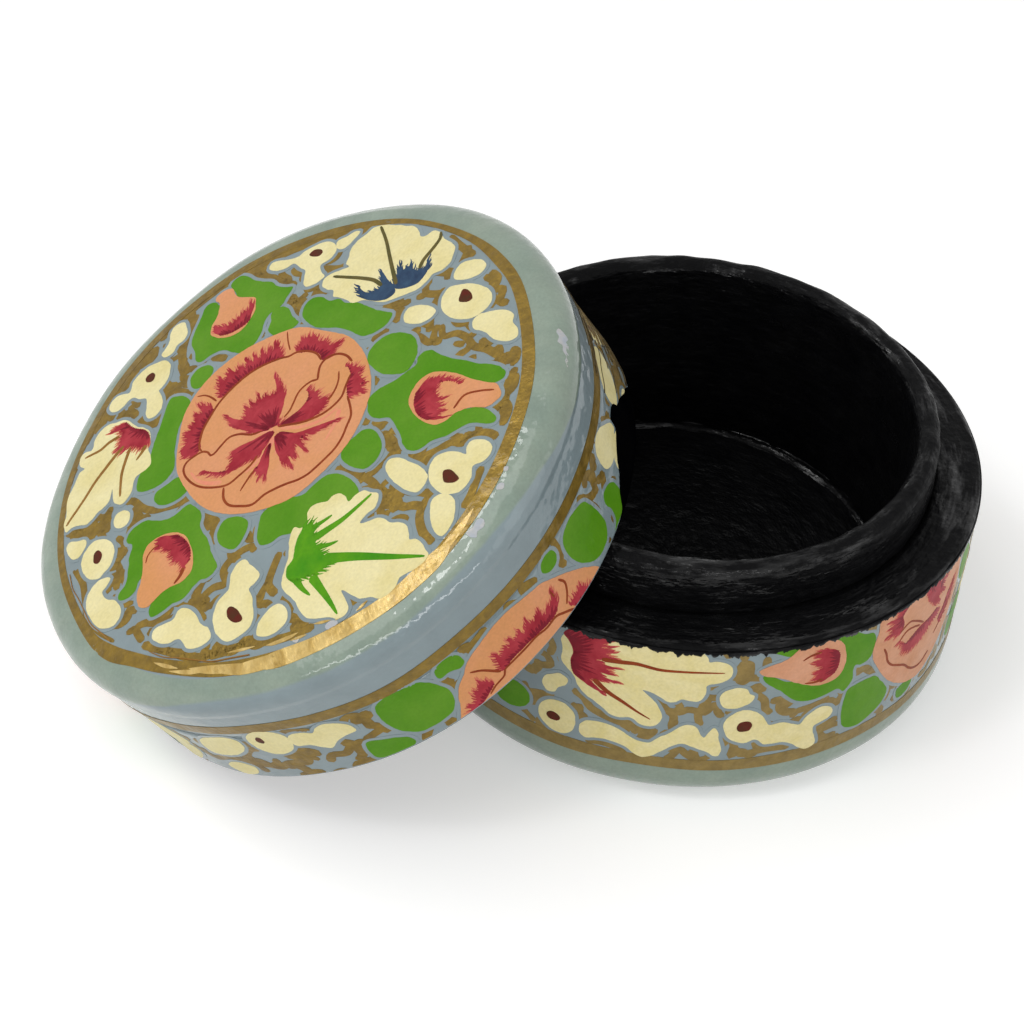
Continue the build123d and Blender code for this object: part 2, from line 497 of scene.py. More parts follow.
def shading(outline, root, width=0.55):
    """Darker strokes drawn from the side of a shape near its root part of the way across."""
    spots = smoothed(outline, step=0.45)
    side = 1 if turns_left(spots) else -1
    near, far = [], []
    for before, spot, after in zip(spots, spots[1:] + spots[:1], spots[2:] + spots[:2]):
        away = Vector((spot.x - root[0], spot.y - root[1])).normalized()
        facing = Vector((after.y - before.y, before.x - after.x)).normalized() * side
        if abs(away.dot(facing)) > 0.3:
            (far if away.dot(facing) > 0 else near).append((away, spot.to_2d()))
    strokes = []
    for away, spot in far:
        start = max(near, key=lambda other: other[0].dot(away))[1] if near else Vector(root)
        end = start + (spot - start) * brush_chance.uniform(0.25, 0.6)
        if lies_within((start + end) / 2, [outline]) and lies_within(end, [outline]):
            strokes.append((width, 0.08, [tuple(start + (end - start) * 0.04), tuple(end)]))
    return strokes


def shaded(shapes, roots):
    """The darker strokes of several shapes."""
    return [stroke for shape, root in zip(shapes, roots) for stroke in shading(shape, root)]


def margins(shapes, width=1.0):
    """The ground left clear round shapes: strokes that follow their outlines."""
    return [(width, width, [*outline, outline[0]]) for outline in shapes]


def wandering_scrolls(low, high, within=None, spacing=3.3):
    """Short curling gold strokes, one to each square of a loose grid, that fill the gaps."""
    strokes = []
    for row in range(int((high[1] - low[1]) / spacing)):
        for column in range(int((high[0] - low[0]) / spacing)):
            x = low[0] + (column + brush_chance.random()) * spacing
            y = low[1] + (row + brush_chance.random()) * spacing
            heading = brush_chance.uniform(0, 2 * pi)
            curl = brush_chance.choice((-1, 1))
            points = []
            for i in range(brush_chance.randint(4, 6)):
                inside = hypot(x, y) < within if within else low[1] < y < high[1]
                if inside:
                    points.append((x, y, brush_chance.uniform(0.8, 1.5)))
                heading += curl * brush_chance.uniform(-0.5, 1.5)
                x += cos(heading) * 1.25
                y += sin(heading) * 1.25
            if len(points) > 2:
                strokes.append(points)
    return strokes


def drawn(sheet, line):
    """A single stroke: points with a width at each, or two end widths and the points."""
    if isinstance(line[0], (int, float)):
        first, last, points = line
        reach = len(points) - 1
        line = [(x, y, first + (last - first) * i / reach) for i, (x, y) in enumerate(points)]
    ring = hypot(line[0][0] - line[-1][0], line[0][1] - line[-1][1]) < 0.01
    spots = smoothed(line[:-1]) if ring else smoothed(line, closed=False)
    if ring:
        spots.append(spots[0])
    last = len(spots) - 1
    added = []
    edge = None
    for i, spot in enumerate(spots):
        after, before = (1, last - 1) if ring and i in (0, last) else \
            (min(i + 1, last), max(i - 1, 0))
        ahead = (spots[after] - spots[before]).to_2d()
        blunt = 0.55 if i in (0, last) and not ring else 1
        side = Vector((-ahead.y, ahead.x)).normalized() * spot.z / 2 * blunt
        pair = [sheet.verts.new((spot.x + side.x * way, spot.y + side.y * way, 0))
                for way in (-1, 1)]
        added += pair
        if edge:
            added.append(sheet.faces.new((edge[0], pair[0], pair[1], edge[1])))
        edge = pair
    faces = (part for part in added if isinstance(part, bmesh.types.BMFace))
    return added + list(dict.fromkeys(edge for face in faces for edge in face.edges))


def cut_across(sheet, part, axis, step):
    """Cuts a flat shape at even steps, so that it can bend with the surface under it."""
    reach = [vert.co[axis] for vert in part if isinstance(vert, bmesh.types.BMVert)]
    normal = Vector((1, 0, 0)) if axis == 0 else Vector((0, 1, 0))
    for mark in range(floor(min(reach) / step) + 1, ceil(max(reach) / step)):
        part = bmesh.ops.bisect_plane(sheet, geom=part, plane_co=normal * mark * step,
                                      plane_no=normal, dist=1e-5)["geom"]
    return part


def thickened(sheet, place, lift):
    """Gives the flat paint its thickness and lays it on the surface that place gives."""
    raised = bmesh.ops.extrude_face_region(sheet, geom=sheet.faces[:])["geom"]
    upper = {vert for vert in raised if isinstance(vert, bmesh.types.BMVert)}
    for vert in sheet.verts:
        vert.co = place(vert.co.x, vert.co.y, lift if vert in upper else -sunk)


def painted(name, body, place, lift, paint, shapes=(), strokes=(), cuts=(1.5, 3.0),
            between=None, repeats=(0,)):
    """One colour of the pattern: a thin coat of paint laid over the surface that place gives."""
    sheet = bmesh.new()
    parts = [filled(sheet, shape) for shape in shapes] + [drawn(sheet, line) for line in strokes]
    for part in parts:
        for axis in (0, 1):
            part = cut_across(sheet, part, axis, cuts[axis])
    if between:
        for edge, way in zip(between, (-1, 1)):
            bmesh.ops.bisect_plane(sheet, geom=sheet.verts[:] + sheet.edges[:] + sheet.faces[:],
                                   plane_co=(0, edge, 0), plane_no=(0, way, 0),
                                   clear_outer=True)
    group = sheet.verts[:] + sheet.edges[:] + sheet.faces[:]
    for move in repeats[1:]:
        copy = bmesh.ops.duplicate(sheet, geom=group)["geom"]
        bmesh.ops.translate(sheet, vec=(move, 0, 0),
                            verts=[v for v in copy if isinstance(v, bmesh.types.BMVert)])
    thickened(sheet, place, lift)
    finished_piece(name, sheet, body, [paint])


def painted_over(body, place, coats, **laid):
    """One coat after another: each has a name, a lift, a paint, filled shapes and strokes."""
    for name, lift, paint, shapes, strokes in coats:
        painted(name, body, place, lift, paint, shapes, strokes, **laid)


def on_base_wall(along, height, lift):
    """The spot on the base wall this far round from the front and this far up."""
    turn = front + along / base_radius
    true_spot = (base_radius * cos(turn), base_radius * sin(turn), height)
    radius = base_radius + lift + hand_unevenness(true_spot, paint_depth, paint_period)
    return radius * cos(turn), radius * sin(turn), height


gold_paint = varnished("gold_paint", (136, 110, 42), (110, 88, 34), streak=700.0,
                       roughness=0.34, coat=0.2, coat_roughness=0.1, metallic=0.5, bump=0.2)
leaf_paint = varnished("leaf_green_paint", (74, 133, 0), (94, 144, 30),
                       streak=110.0, bump=0.07)
cream_paint = varnished("cream_paint", (223, 210, 149), (233, 223, 173),
                        streak=150.0, bump=0.09)
salmon_paint = varnished("salmon_paint", (210, 146, 92), (216, 150, 108),
                         streak=90.0, bump=0.06)
crimson_paint = varnished("crimson_paint", (150, 28, 44), (178, 58, 68),
                          streak=340.0, bump=0.06)
blush_paint = varnished("blush_paint", (198, 104, 82), (208, 128, 98), streak=420.0)
line_paint = varnished("brown_line_paint", (128, 48, 16), (146, 66, 26),
                       streak=400.0, bump=0.04)
dark_crimson_paint = varnished("dark_crimson_paint", (116, 12, 34), (140, 26, 44),
                               streak=340.0, bump=0.05)
dot_paint = varnished("dark_dot_paint", (92, 22, 8), (70, 40, 12), streak=700.0,
                      bump=0.04)

base_petals = [
    [(-12.2, 24.5), (-11.9, 22.8), (-11.9, 20.9), (-11.2, 20), (-10, 18.8), (-9.5, 17.7),
     (-8.7, 16.7), (-7.7, 16), (-6.8, 15.5), (-5.8, 14.8), (-4.85, 14.1), (-3.7, 14),
     (-2.7, 14.3), (-2.1, 14.2), (-1.2, 13.5), (-0.2, 13.3), (0.75, 13.7), (1.3, 14.6),
     (1.4, 15.5), (0.9, 16.7), (0.15, 17.85), (-0.8, 18.8), (-1.4, 19.4), (0, 19.1),
     (0.9, 18.6), (1.9, 18), (2.75, 18.1), (3.4, 18.7), (4.4, 18.5), (5.5, 18.5),
     (6.1, 19.2), (6.3, 20.3), (6.3, 21.3), (7.5, 21.7), (8.4, 22.1), (9.1, 23),
     (9.1, 24.2), (8.4, 25.05), (7.1, 25.4), (6.1, 25.3), (5.9, 26.1), (5.1, 26.9),
     (4, 28), (-4, 28), (-10, 28), (-11.6, 25.5)],
    [(-13.5, 12.85), (-12.35, 13.6), (-10.8, 13.6), (-9.55, 12.65), (-9.2, 11.1),
     (-9.4, 9.6), (-10.4, 8.5), (-11.8, 8.3), (-13.1, 8.9), (-14.1, 10), (-14.2, 11.5)],
    [(-14.1, 15.7), (-13.9, 16.9), (-12.9, 17.85), (-11.8, 18.4), (-10.8, 17.85),
     (-10.9, 16.9), (-11.8, 16.1), (-12.35, 15), (-13.3, 14.7)],
    [(-8.6, 10.9), (-7.9, 11.9), (-6.8, 12.3), (-5.2, 12.3), (-3.7, 11.9), (-2.35, 11.1),
     (-1.2, 10.5), (0.35, 10.5), (1.3, 11.5), (2.5, 12.5), (3.2, 13.2), (4, 14), (5, 14.3),
     (5.9, 13.8), (6.4, 12.65), (6.9, 12.1), (7.4, 13), (8, 13.8), (8.6, 13), (8.8, 11.7),
     (9.2, 10.5), (9.3, 9.6), (9, 8.8), (8.4, 8.8), (7.75, 9.4), (6.5, 10), (5.35, 10.5),
     (4.4, 10.9), (3.4, 10.5), (2.5, 9.8), (1.5, 8.8), (0.5, 8), (-0.6, 7.75), (-1.6, 8.2),
     (-2.5, 9), (-3.7, 9.4), (-5.2, 9.6), (-6.6, 9.4), (-7.7, 9), (-8.5, 9.6)],
    [(8.1, 19.4), (8.6, 20.3), (10, 20.8), (11.3, 20.5), (11.8, 19.6), (12.4, 19.2),
     (12.1, 18.2), (11.1, 17.5), (9.8, 17.2), (8.6, 17.65)],
    [(9.2, 15), (9.8, 15.9), (10.9, 16.7), (11.7, 16.8), (13.1, 16.2), (14, 15.3),
     (14.6, 14.2), (15, 13.6), (16.7, 13.7), (18.3, 13), (19.2, 12.65), (19.8, 13.6),
     (20.8, 14.5), (21.9, 14.9), (23.1, 14.5), (23.75, 13.6), (23.5, 12.65), (22.3, 12.1),
     (21.3, 11.7), (21.3, 10.7), (21.7, 9.6), (21.9, 8.4), (21.3, 7.85), (20.4, 7.85),
     (19.6, 8.4), (18.5, 9.4), (17.1, 10.1), (15.8, 10.1), (14.6, 10.3), (13.8, 11.1),
     (13.3, 11.3), (12.1, 10.8), (10.8, 11.3), (10, 11.9), (9.4, 13), (9.1, 14)]]
base_crimson = [
    [(-11.9, 25.2), (-11.4, 26), (-10.6, 28), (-6.6, 28), (-6.2, 26.1), (-7, 25.6),
     (-5.8, 25.5), (-7.1, 25.05), (-5.5, 24.7), (-6.6, 24.3), (-6, 23.9), (-5, 23.4),
     (-6.8, 23), (-7.7, 22.75), (-6.8, 22.4), (-4.85, 22.1), (-6.2, 21.6), (-5.2, 20.9),
     (-7, 20.7), (-6.2, 20.2), (-4.65, 19.9), (-6.6, 19.6), (-7.5, 19.4), (-8.3, 19.4),
     (-7.35, 18.6), (-6.2, 17.5), (-7, 17.65), (-7.9, 18), (-9.1, 18.6), (-10, 19.2),
     (-10.5, 20.15), (-10.7, 21.3), (-10.5, 22.8), (-10.8, 23.8), (-11.3, 24.6)],
    [(20, 25.05), (21.15, 25.15), (22.3, 24.8), (23.1, 23.8), (23.3, 22.3), (23.1, 21.1),
     (22.3, 20.15), (20.8, 20.05), (20, 20.5), (20.6, 21.2), (20, 21.7), (21, 22.1),
     (20.4, 22.8), (19.8, 23.4), (20.6, 23.8), (19.6, 24.3), (20.4, 24.7)],
    [(32.5, 27.5), (33.85, 26.3), (33.1, 25.15), (33.65, 23.4), (33.1, 22.1), (32.1, 22.5),
     (30.8, 22.85), (31.9, 23.4), (30.8, 24.2), (31.9, 24.4), (30.6, 25.5), (32.1, 25.5)],
    [(33.1, 20.5), (34.2, 19.4), (34.8, 18), (36.5, 17.5), (38.5, 18), (40, 19),
     (42, 20.2), (41.4, 21), (39.6, 20.6), (37.5, 20.5), (35.8, 19.7), (35, 19.3)],
    [(37.4, 27.4), (38, 25.8), (39, 24), (40.6, 22.4), (41.8, 22), (41.2, 23.4),
     (42.6, 23.6), (41.6, 24.8), (42.4, 26), (40.8, 26), (40.4, 27.4)],
    [(43.2, 17.2), (44.6, 18.8), (45.4, 21), (45.2, 23.4), (44.4, 22.2), (43.8, 21.2),
     (43.2, 19.6), (42.4, 18.4)]]
base_rose = [
    [(12.5, 23.4), (13.85, 24.2), (15.4, 24.7), (16.3, 25.3), (17.3, 26.4), (18.65, 26.9),
     (20.8, 26.8), (22.5, 26.3), (23.5, 25.15), (24, 23.8), (24.3, 22.1), (24.1, 20.7),
     (23.5, 19.6), (21.9, 19.1), (20.4, 19.2), (18.8, 19.9), (17.3, 20.7), (15.8, 21.6),
     (14.2, 22.2), (13.1, 22.65)],
    [(29.4, 28), (28.9, 26.1), (29, 24.6), (28.65, 22.65), (28.65, 20.9), (29.2, 19.4),
     (30.2, 17.65), (31.15, 16.1), (32.3, 14.6), (33.85, 13), (35.6, 11.7), (37.7, 10.7),
     (40, 10.2), (42, 10.9), (43.8, 12.4), (45.4, 14.6), (46.6, 17.4), (47.2, 20.6),
     (47, 23.8), (46.4, 26.4), (45.6, 28), (37, 28.4)]]
base_lines = [
    (0.75, 0.12, [(-6.8, 23.1), (-4.5, 23.4), (-2.5, 23.65), (0.35, 23.3), (3.2, 23.4),
                  (6.1, 23.5), (8.2, 23.5)]),
    (0.8, 0.12, [(-7.5, 19.4), (-5.8, 18), (-3.5, 16.7), (-1.6, 15.5), (0, 14.6)]),
    (0.2, 0.4, [(18, 24.2), (19, 24.8), (20.4, 25)]),
    (0.2, 0.45, [(18.8, 20.1), (20, 19.9), (21.2, 20.1)]),
    (0.3, 0.35, [(30.6, 20.9), (31.25, 19.6), (31.7, 18.2), (32.7, 16.9), (34.2, 15.9),
                 (35.6, 15), (36.9, 13.6), (38.3, 12.65), (39.8, 12.3), (41.6, 13.2)]),
    (0.3, 0.3, [(33.4, 20.6), (34.6, 21.6), (36, 21.4), (37.4, 20.8)]),
    (0.3, 0.3, [(33.2, 22.2), (34.8, 23), (36.4, 22.2), (38.2, 20.8)]),
    (0.25, 0.3, [(42, 16), (43.2, 17.2), (44.4, 19), (45.2, 21.2), (45.2, 23.6)])]
base_dots = [
    [(-13.1, 10.8), (-12.7, 11.4), (-12.1, 11.5), (-11.4, 11.2), (-11.2, 10.7), (-11.6, 10.2),
     (-12.2, 10.1), (-12.8, 10.2)],
    [(10.85, 13.9), (11.1, 14.5), (11.8, 14.75), (12.5, 14.5), (12.75, 13.8), (12.4, 13.1),
     (11.6, 12.95), (11, 13.2)]]
base_leaves = [
    [(13.9, 26.5), (15, 27), (17.1, 28), (17.7, 26.7), (16.3, 25.3), (14.8, 25.9)],
    [(13.1, 22.5), (14.6, 22), (16.7, 20.9), (19, 22), (21, 25), (21.6, 28), (22.6, 28),
     (23.5, 27), (25.2, 26.5), (26.7, 25.5), (28.1, 25), (28.65, 23.8), (28.6, 22.1),
     (28.3, 20.7), (26.9, 20.15), (26, 20.5), (25.8, 19.4), (26, 18.2), (25.2, 16.7),
     (24.8, 16.5), (23.8, 17.3), (21.9, 16.9), (20, 16.7), (18.3, 17.1), (16.9, 18.2),
     (15.6, 19.6), (14, 20.9), (13.2, 21.9)],
    [(25.6, 16.3), (26.7, 16.7), (28.5, 16.8), (30, 16.5), (31, 15.3), (32.1, 13.8),
     (32.9, 12.3), (32.5, 10.7), (30.8, 9.4), (28.5, 8.6), (26.9, 8.9), (25.8, 9.8),
     (25.4, 11.3), (25.2, 13), (25.3, 14.8)],
    [(35.2, 10.7), (36.9, 11.1), (38.5, 10.2), (37.9, 9), (35.8, 8.8)]]
base_gold_shapes = [
    [(9.6, 24.6), (10.2, 25.5), (11.5, 25.15), (11.9, 23.6), (11.7, 22.1), (10.7, 21.3),
     (9.8, 21.7), (9.5, 23.2)]]
base_gold_strokes = [
    (0.8, 0.8, [(0.7, 18.6), (1.1, 17.5), (1.9, 16.5), (2.75, 15.7), (2.85, 14)]),
    (0.8, 0.8, [(1.9, 16.5), (3.4, 16.3), (4.4, 16.9), (5.7, 16.7), (6.5, 16.5), (7.3, 17.65),
                (7.85, 18), (8.1, 16.7), (8.8, 15.7)]),
    (0.8, 0.7, [(5.7, 16.7), (5.9, 15.2), (6.3, 14.2)]),
    (0.9, 0.8, [(-10, 16.5), (-8.5, 15.7), (-7.5, 14.4), (-5.6, 13.6), (-4.1, 13.2),
                (-2.5, 12.85), (-1.2, 12.3), (0.15, 11.9), (0.9, 13)]),
    (0.8, 0.6, [(-8.9, 14.4), (-8.7, 12.65)]),
    (0.9, 0.7, [(10.5, 11.7), (10.9, 10.5), (10.7, 8.6), (11.5, 9.4), (12.85, 9)]),
    (0.8, 0.8, [(2.5, 7.65), (3.2, 8.4), (4.1, 9.8), (5, 9), (6.1, 8.2), (7.1, 7.85)]),
    (1, 1, [(-7.7, 8.6), (-5.6, 9), (-3.5, 8.6), (-2.5, 7.85)]),
    (0.8, 0.8, [(12.1, 20.2), (12.9, 19.2), (13.8, 18.2), (14.2, 16.5), (15, 15.7)]),
    (1.2, 0.8, [(16.2, 17.8), (16.2, 16.3), (16.9, 15.5), (18.1, 15.15), (17.9, 14.2)]),
    (0.8, 0.8, [(18.1, 15.2), (20, 15.4), (21.9, 15.7), (23.8, 15.3)]),
    (0.9, 0.8, [(24.8, 11.7), (23.3, 11.3), (21.9, 11.1), (22.3, 10), (23.3, 8.8), (25, 8.8)]),
    (0.8, 0.8, [(11.2, 10), (11.9, 8.8), (13.5, 9), (15.4, 9.2), (18.3, 9)]),
    (0.9, 0.8, [(26.3, 18.6), (27.7, 19), (28.85, 18), (30.4, 17.1)]),
    (0.8, 0.8, [(32.9, 10.2), (33.65, 12.3), (35, 11.7)]),
    (0.8, 0.6, [(6.5, 20.5), (6.9, 21.1), (7.8, 21.7)]),
    (0.8, 0.7, [(-13.6, 20.8), (-13.2, 22.4), (-13.9, 24), (-13.2, 25.4)]),
    (0.8, 0.7, [(40.6, 9.4), (42.4, 9), (43.8, 10.2), (45, 9.6), (44.6, 11.6)])]


def round_petal(across, up, half_width, half_height, turn=0):
    """A plain oval dab of the brush."""
    lean_over = radians(turn)
    return [(across + half_width * cos(i * pi / 5) * cos(lean_over)
             - half_height * sin(i * pi / 5) * sin(lean_over),
             up + half_width * cos(i * pi / 5) * sin(lean_over)
             + half_height * sin(i * pi / 5) * cos(lean_over)) for i in range(10)]


base_leaves += [round_petal(50.6, 12.9, 2.5, 3.6, -20), round_petal(49.8, 22.4, 1.9, 3.2, 15),
                round_petal(62.4, 22.6, 2.2, 3.2, 25), round_petal(61.3, 11.4, 2.8, 2.2, 20)]
base_petals += [round_petal(55.2, 19.2, 2.4, 2.3), round_petal(52.1, 17.1, 1.5, 1.1, 40),
                round_petal(58.4, 17.2, 1.9, 1.2, -25), round_petal(56, 23.4, 1.3, 1.8, 10),
                round_petal(55.9, 11.2, 2.3, 1.5, 15), round_petal(56.6, 14.4, 1.4, 0.9, -30)]
base_dots.append(round_petal(55.2, 19.2, 0.8, 0.8))


def heavier(strokes, by=1.35):
    """The same strokes, drawn with a fuller brush."""
    return [(first * by, last * by, points) for first, last, points in strokes]


base_roots = [(-14, 21.5), (26, 22.3), (36, 25), (37.5, 23), (38, 28), (40, 20)]
base_feathers = fringe(base_crimson, base_roots, base_rose + base_petals, 0.9)
base_shading = shaded(base_crimson, base_roots)
way_round = 2 * pi * base_radius
three_groups = [way_round / 3 * turn for turn in range(3)]
between_lines = (6.4, 26.9)
gold_line_run = [(-60 + way_round * i / 24, 7.1 + 0.12 * sin(i * 2.4), 1.9 + 0.15 * sin(i * 1.7))
                 for i in range(25)]
dull_gold_paint = varnished("dull_gold_paint", (142, 120, 68), (122, 102, 56),
                            streak=600.0, roughness=0.36, coat=0.2, coat_roughness=0.1,
                            metallic=0.4, bump=0.2)
base_cream_paint = varnished("base_cream_paint", (222, 208, 144), (230, 218, 166),
                             streak=380.0)
painted("base_gold_line", "base", on_base_wall, 0.05, dull_gold_paint, strokes=[gold_line_run])
pale_salmon_paint = varnished("pale_salmon_paint", (202, 142, 104), (214, 158, 126), streak=260.0)
painted_over("base", on_base_wall, [
    ("base_gold_scrolls", 0.03, dull_gold_paint, base_gold_shapes,
     heavier(base_gold_strokes) + wandering_scrolls((-14, 7.5), (65.6, 27.5))),
    ("base_margins", 0.04, base_ground, (), margins(base_leaves + base_petals + base_rose)),
    ("base_leaves", 0.06, leaf_paint, base_leaves, ()),
    ("base_petals", 0.075, base_cream_paint, base_petals, ()),
    ("base_roses", 0.09, pale_salmon_paint, base_rose, ()),
    ("base_blush", 0.097, blush_paint, (),
     fringe(base_crimson, base_roots, base_rose + base_petals, 1.2, 0.5)),
    ("base_crimson", 0.105, crimson_paint, base_crimson, base_feathers),
    ("base_crimson_shading", 0.112, dark_crimson_paint, (), base_shading),
    ("base_lines", 0.12, line_paint, (), base_lines)],
    between=between_lines, repeats=three_groups)
painted("base_dots", "base", on_base_wall, 0.12, dot_paint, base_dots, repeats=three_groups)


# ---- Lacquer over the edge of the ledge --------------------------------------------
# The black of the ledge was brushed on after the flowers, and runs a little way down
# over them in a ragged edge.
ragged_level = 26.4
ragged_depth = 0.7
lacquer_from = 27.0
edge_step = 0.2


def ragged_height(along):
    """Where the lacquer's lower edge ends, this far round the wall."""
    spot = Vector((along / 1.7, 3.0, 0))
    stray = (noise.noise(spot) + 0.8 * noise.noise(spot * 2.7)
             + 0.55 * noise.noise(spot * 7) + 0.3 * noise.noise(spot * 15))
    return min(ragged_level + ragged_depth * stray, lacquer_from - 0.08)


def ledge_lacquer_edge():
    """A strip of lacquer all round, level at its upper edge and ragged at its lower one."""
    sheet = bmesh.new()
    rows = []
    count = ceil(way_round / edge_step)
    for i in range(count):
        ragged = ragged_height(i * edge_step)
        rows.append([sheet.verts.new((way_round * i / count, height, 0)) for height in
                     (ragged, (ragged + lacquer_from) / 2, lacquer_from)])
    for here, there in zip(rows, rows[1:] + rows[:1]):
        for i in (0, 1):
            sheet.faces.new((here[i], there[i], there[i + 1], here[i + 1]))
    thickened(sheet, on_base_wall, 0.15)
    for face in sheet.faces:
        face.smooth = True
    finished_piece("ledge_lacquer_edge", sheet, "base", [lacquer])


ledge_lacquer_edge()


# ---- Lid wall ----------------------------------------------------------------------
# A short tube of rolled paper glued under the cap. Outside it carries the upper half of
# the flowers, and its rounded rim and its inside are lacquered black.
lid_wall_radius = 37.4
lid_inner_radius = 33.1
lid_seam_height = 10.1
rim_inner_round = 1.8
rim_outer_round = 0.8
lid_ground = ground_paint("lid_ground_paint", True, (-5, 16.1), (-0.74, -0.52, 33.8), 3.2)
lid_lacquer = black_lacquer("lid_black_lacquer", True)
pressed_from_radius = 34.8
pressed_over = 1.5
# Where round the lid, over how wide an arc, and how far it was pressed out of round
lid_swells = ((170, 15, 1.15), (197, 12, 0.45), (63, 20, -0.8), (104, 10, -0.45), (242, 18, -0.4))


def out_of_round(turn, height):
    """How far the lid's outside stands off a true circle, at a turn in radians and a height."""
    return sum(reach * exp(-(((degrees(turn) - middle + 180) % 360 - 180) / width) ** 2 / 2)
               * (min(1, max(0, height - 1.5) / 9) if reach > 0 else 1)
               for middle, width, reach in lid_swells)


def pressed_lid(spot):
    """How the lid's outside moves where it was pressed out of round."""
    radius = hypot(spot.x, spot.y)
    if radius < pressed_from_radius:
        return Vector()
    out = Vector((spot.x, spot.y, 0)) / radius
    return out * out_of_round(atan2(spot.y, spot.x), spot.z) \
        * min(1, (radius - pressed_from_radius) / pressed_over)


def inside_lid_wall(centre, normal):
    """True inside the wall and under its rim, which are lacquered."""
    return hypot(centre.x, centre.y) < lid_wall_radius - 0.5 or normal.z < -0.5


lid_tube_outline = (
    straight((lid_inner_radius + rim_inner_round, 0), (lid_wall_radius - rim_outer_round, 0))
    + rounded((lid_wall_radius - rim_outer_round, rim_outer_round), rim_outer_round, -90, 0, 6)
    + straight((lid_wall_radius, rim_outer_round), (lid_wall_radius, lid_seam_height), 1.1)
    + straight((lid_wall_radius, lid_seam_height), (lid_inner_radius, lid_seam_height), 3)
    + straight((lid_inner_radius, lid_seam_height), (lid_inner_radius, rim_inner_round))
    + rounded((lid_inner_radius + rim_inner_round, rim_inner_round), rim_inner_round, 180, 270))
turned_piece("lid_tube", lid_tube_outline, "lid", "lid_wall",
             [lid_ground, lid_lacquer], paint_depth, paint_period, lean, inside_lid_wall,
             pressed_lid)


# ---- Lid cap -----------------------------------------------------------------------
# The moulded top of the lid: slightly domed, with a rounded shoulder and sides drawn in
# towards the wall. Painted outside under thick varnish, black inside.
lid_height = 20.3
lid_ceiling = 16.7
bead_radius = 38.05
shoulder_round = 3.3
dome_rise = 0.4
ceiling_round = 1.5
dome_edge = bead_radius - shoulder_round
bead_height = lid_height - shoulder_round
crease_height = 16.2
crease_depth = 0.16
crease_width = 0.3
edge_fall_from = 32.4
edge_fall_over = 3.6
edge_fall_depth = 0.28
below_crease = 14.9
side_sweep = ((bead_height - lid_seam_height) ** 2 / (bead_radius - lid_wall_radius)
              + bead_radius - lid_wall_radius) / 2


def lid_side_radius(height):
    """The lid's outer radius: its straight wall, then the cap swelling to the bead's crease."""
    if height < lid_seam_height:
        return lid_wall_radius
    full = bead_radius - side_sweep + sqrt(side_sweep ** 2 - (bead_height - height) ** 2)
    return full - crease_depth * min(1, max(0, (crease_height - height) / crease_width)) \
        * min(1, (height - lid_seam_height) / 3)


def edge_fall(radius):
    """How far the top has sunk towards its edge, where it was pressed over the mould."""
    part = min(1, max(0, (radius - edge_fall_from) / edge_fall_over))
    return edge_fall_depth * part * part * (3 - 2 * part)


def lid_top_height(radius):
    """The height of the domed top, and of the shoulder round it."""
    if radius < dome_edge:
        return lid_height + dome_rise * (1 - (radius / dome_edge) ** 2) - edge_fall(radius)
    rise = sqrt(shoulder_round ** 2 - (radius - dome_edge) ** 2)
    return bead_height + rise * (1 - edge_fall(radius) / shoulder_round)


def inside_cap(centre, normal):
    """True on the ceiling and inside the cap's side, which are lacquered."""
    radius = hypot(centre.x, centre.y)
    return centre.z < lid_ceiling + 0.05 and radius < lid_inner_radius + 0.05 or normal.z < -0.9


# Close rows round the crease, then wider ones down to the seam
side_heights = [bead_height - 0.35 * i for i in range(7)] + [
    below_crease - (below_crease - lid_seam_height) * i / 5 for i in range(5)]
cap_outline = (
    [(dome_edge * i / 26, lid_top_height(dome_edge * i / 26)) for i in range(26)]
    + [(radius, height - edge_fall(radius) * (height - bead_height) / shoulder_round)
       for radius, height in rounded((dome_edge, bead_height), shoulder_round, 90, 0, 14)]
    + [(lid_side_radius(height), height) for height in side_heights]
    + straight((lid_wall_radius, lid_seam_height), (lid_inner_radius, lid_seam_height), 3)
    + straight((lid_inner_radius, lid_seam_height),
               (lid_inner_radius, lid_ceiling - ceiling_round))
    + rounded((lid_inner_radius - ceiling_round, lid_ceiling - ceiling_round), ceiling_round,
              0, 90)
    + straight((lid_inner_radius - ceiling_round, lid_ceiling), (0, lid_ceiling), 3)
    + [(0, lid_ceiling)])
turned_piece("lid_cap_shell", cap_outline, "lid", "lid_cap",
             [lid_ground, lid_lacquer], paint_depth, paint_period, lean, inside_cap, pressed_lid)


# ---- Flowers on the lid's side -----------------------------------------------------
# The same group as on the base, cut off by the rim: half a rose between round leaves, a
# narcissus and pale petals, under the gold band that hides the cap's seam.
lid_front = radians(-72.883)


def on_lid_side(along, height, lift):
    """The spot on the lid's side this far round from the front and up from the rim."""
    turn = lid_front + along / lid_wall_radius
    radius = lid_side_radius(height)
    if height < rim_outer_round:
        fall = min(rim_outer_round, rim_outer_round - height)
        radius += sqrt(rim_outer_round ** 2 - fall ** 2) - rim_outer_round
    true_spot = (radius * cos(turn), radius * sin(turn), height)
    radius += lift + out_of_round(turn, height) \
        + hand_unevenness(true_spot, paint_depth, paint_period)
    return lean @ Vector((radius * cos(turn), radius * sin(turn), height))


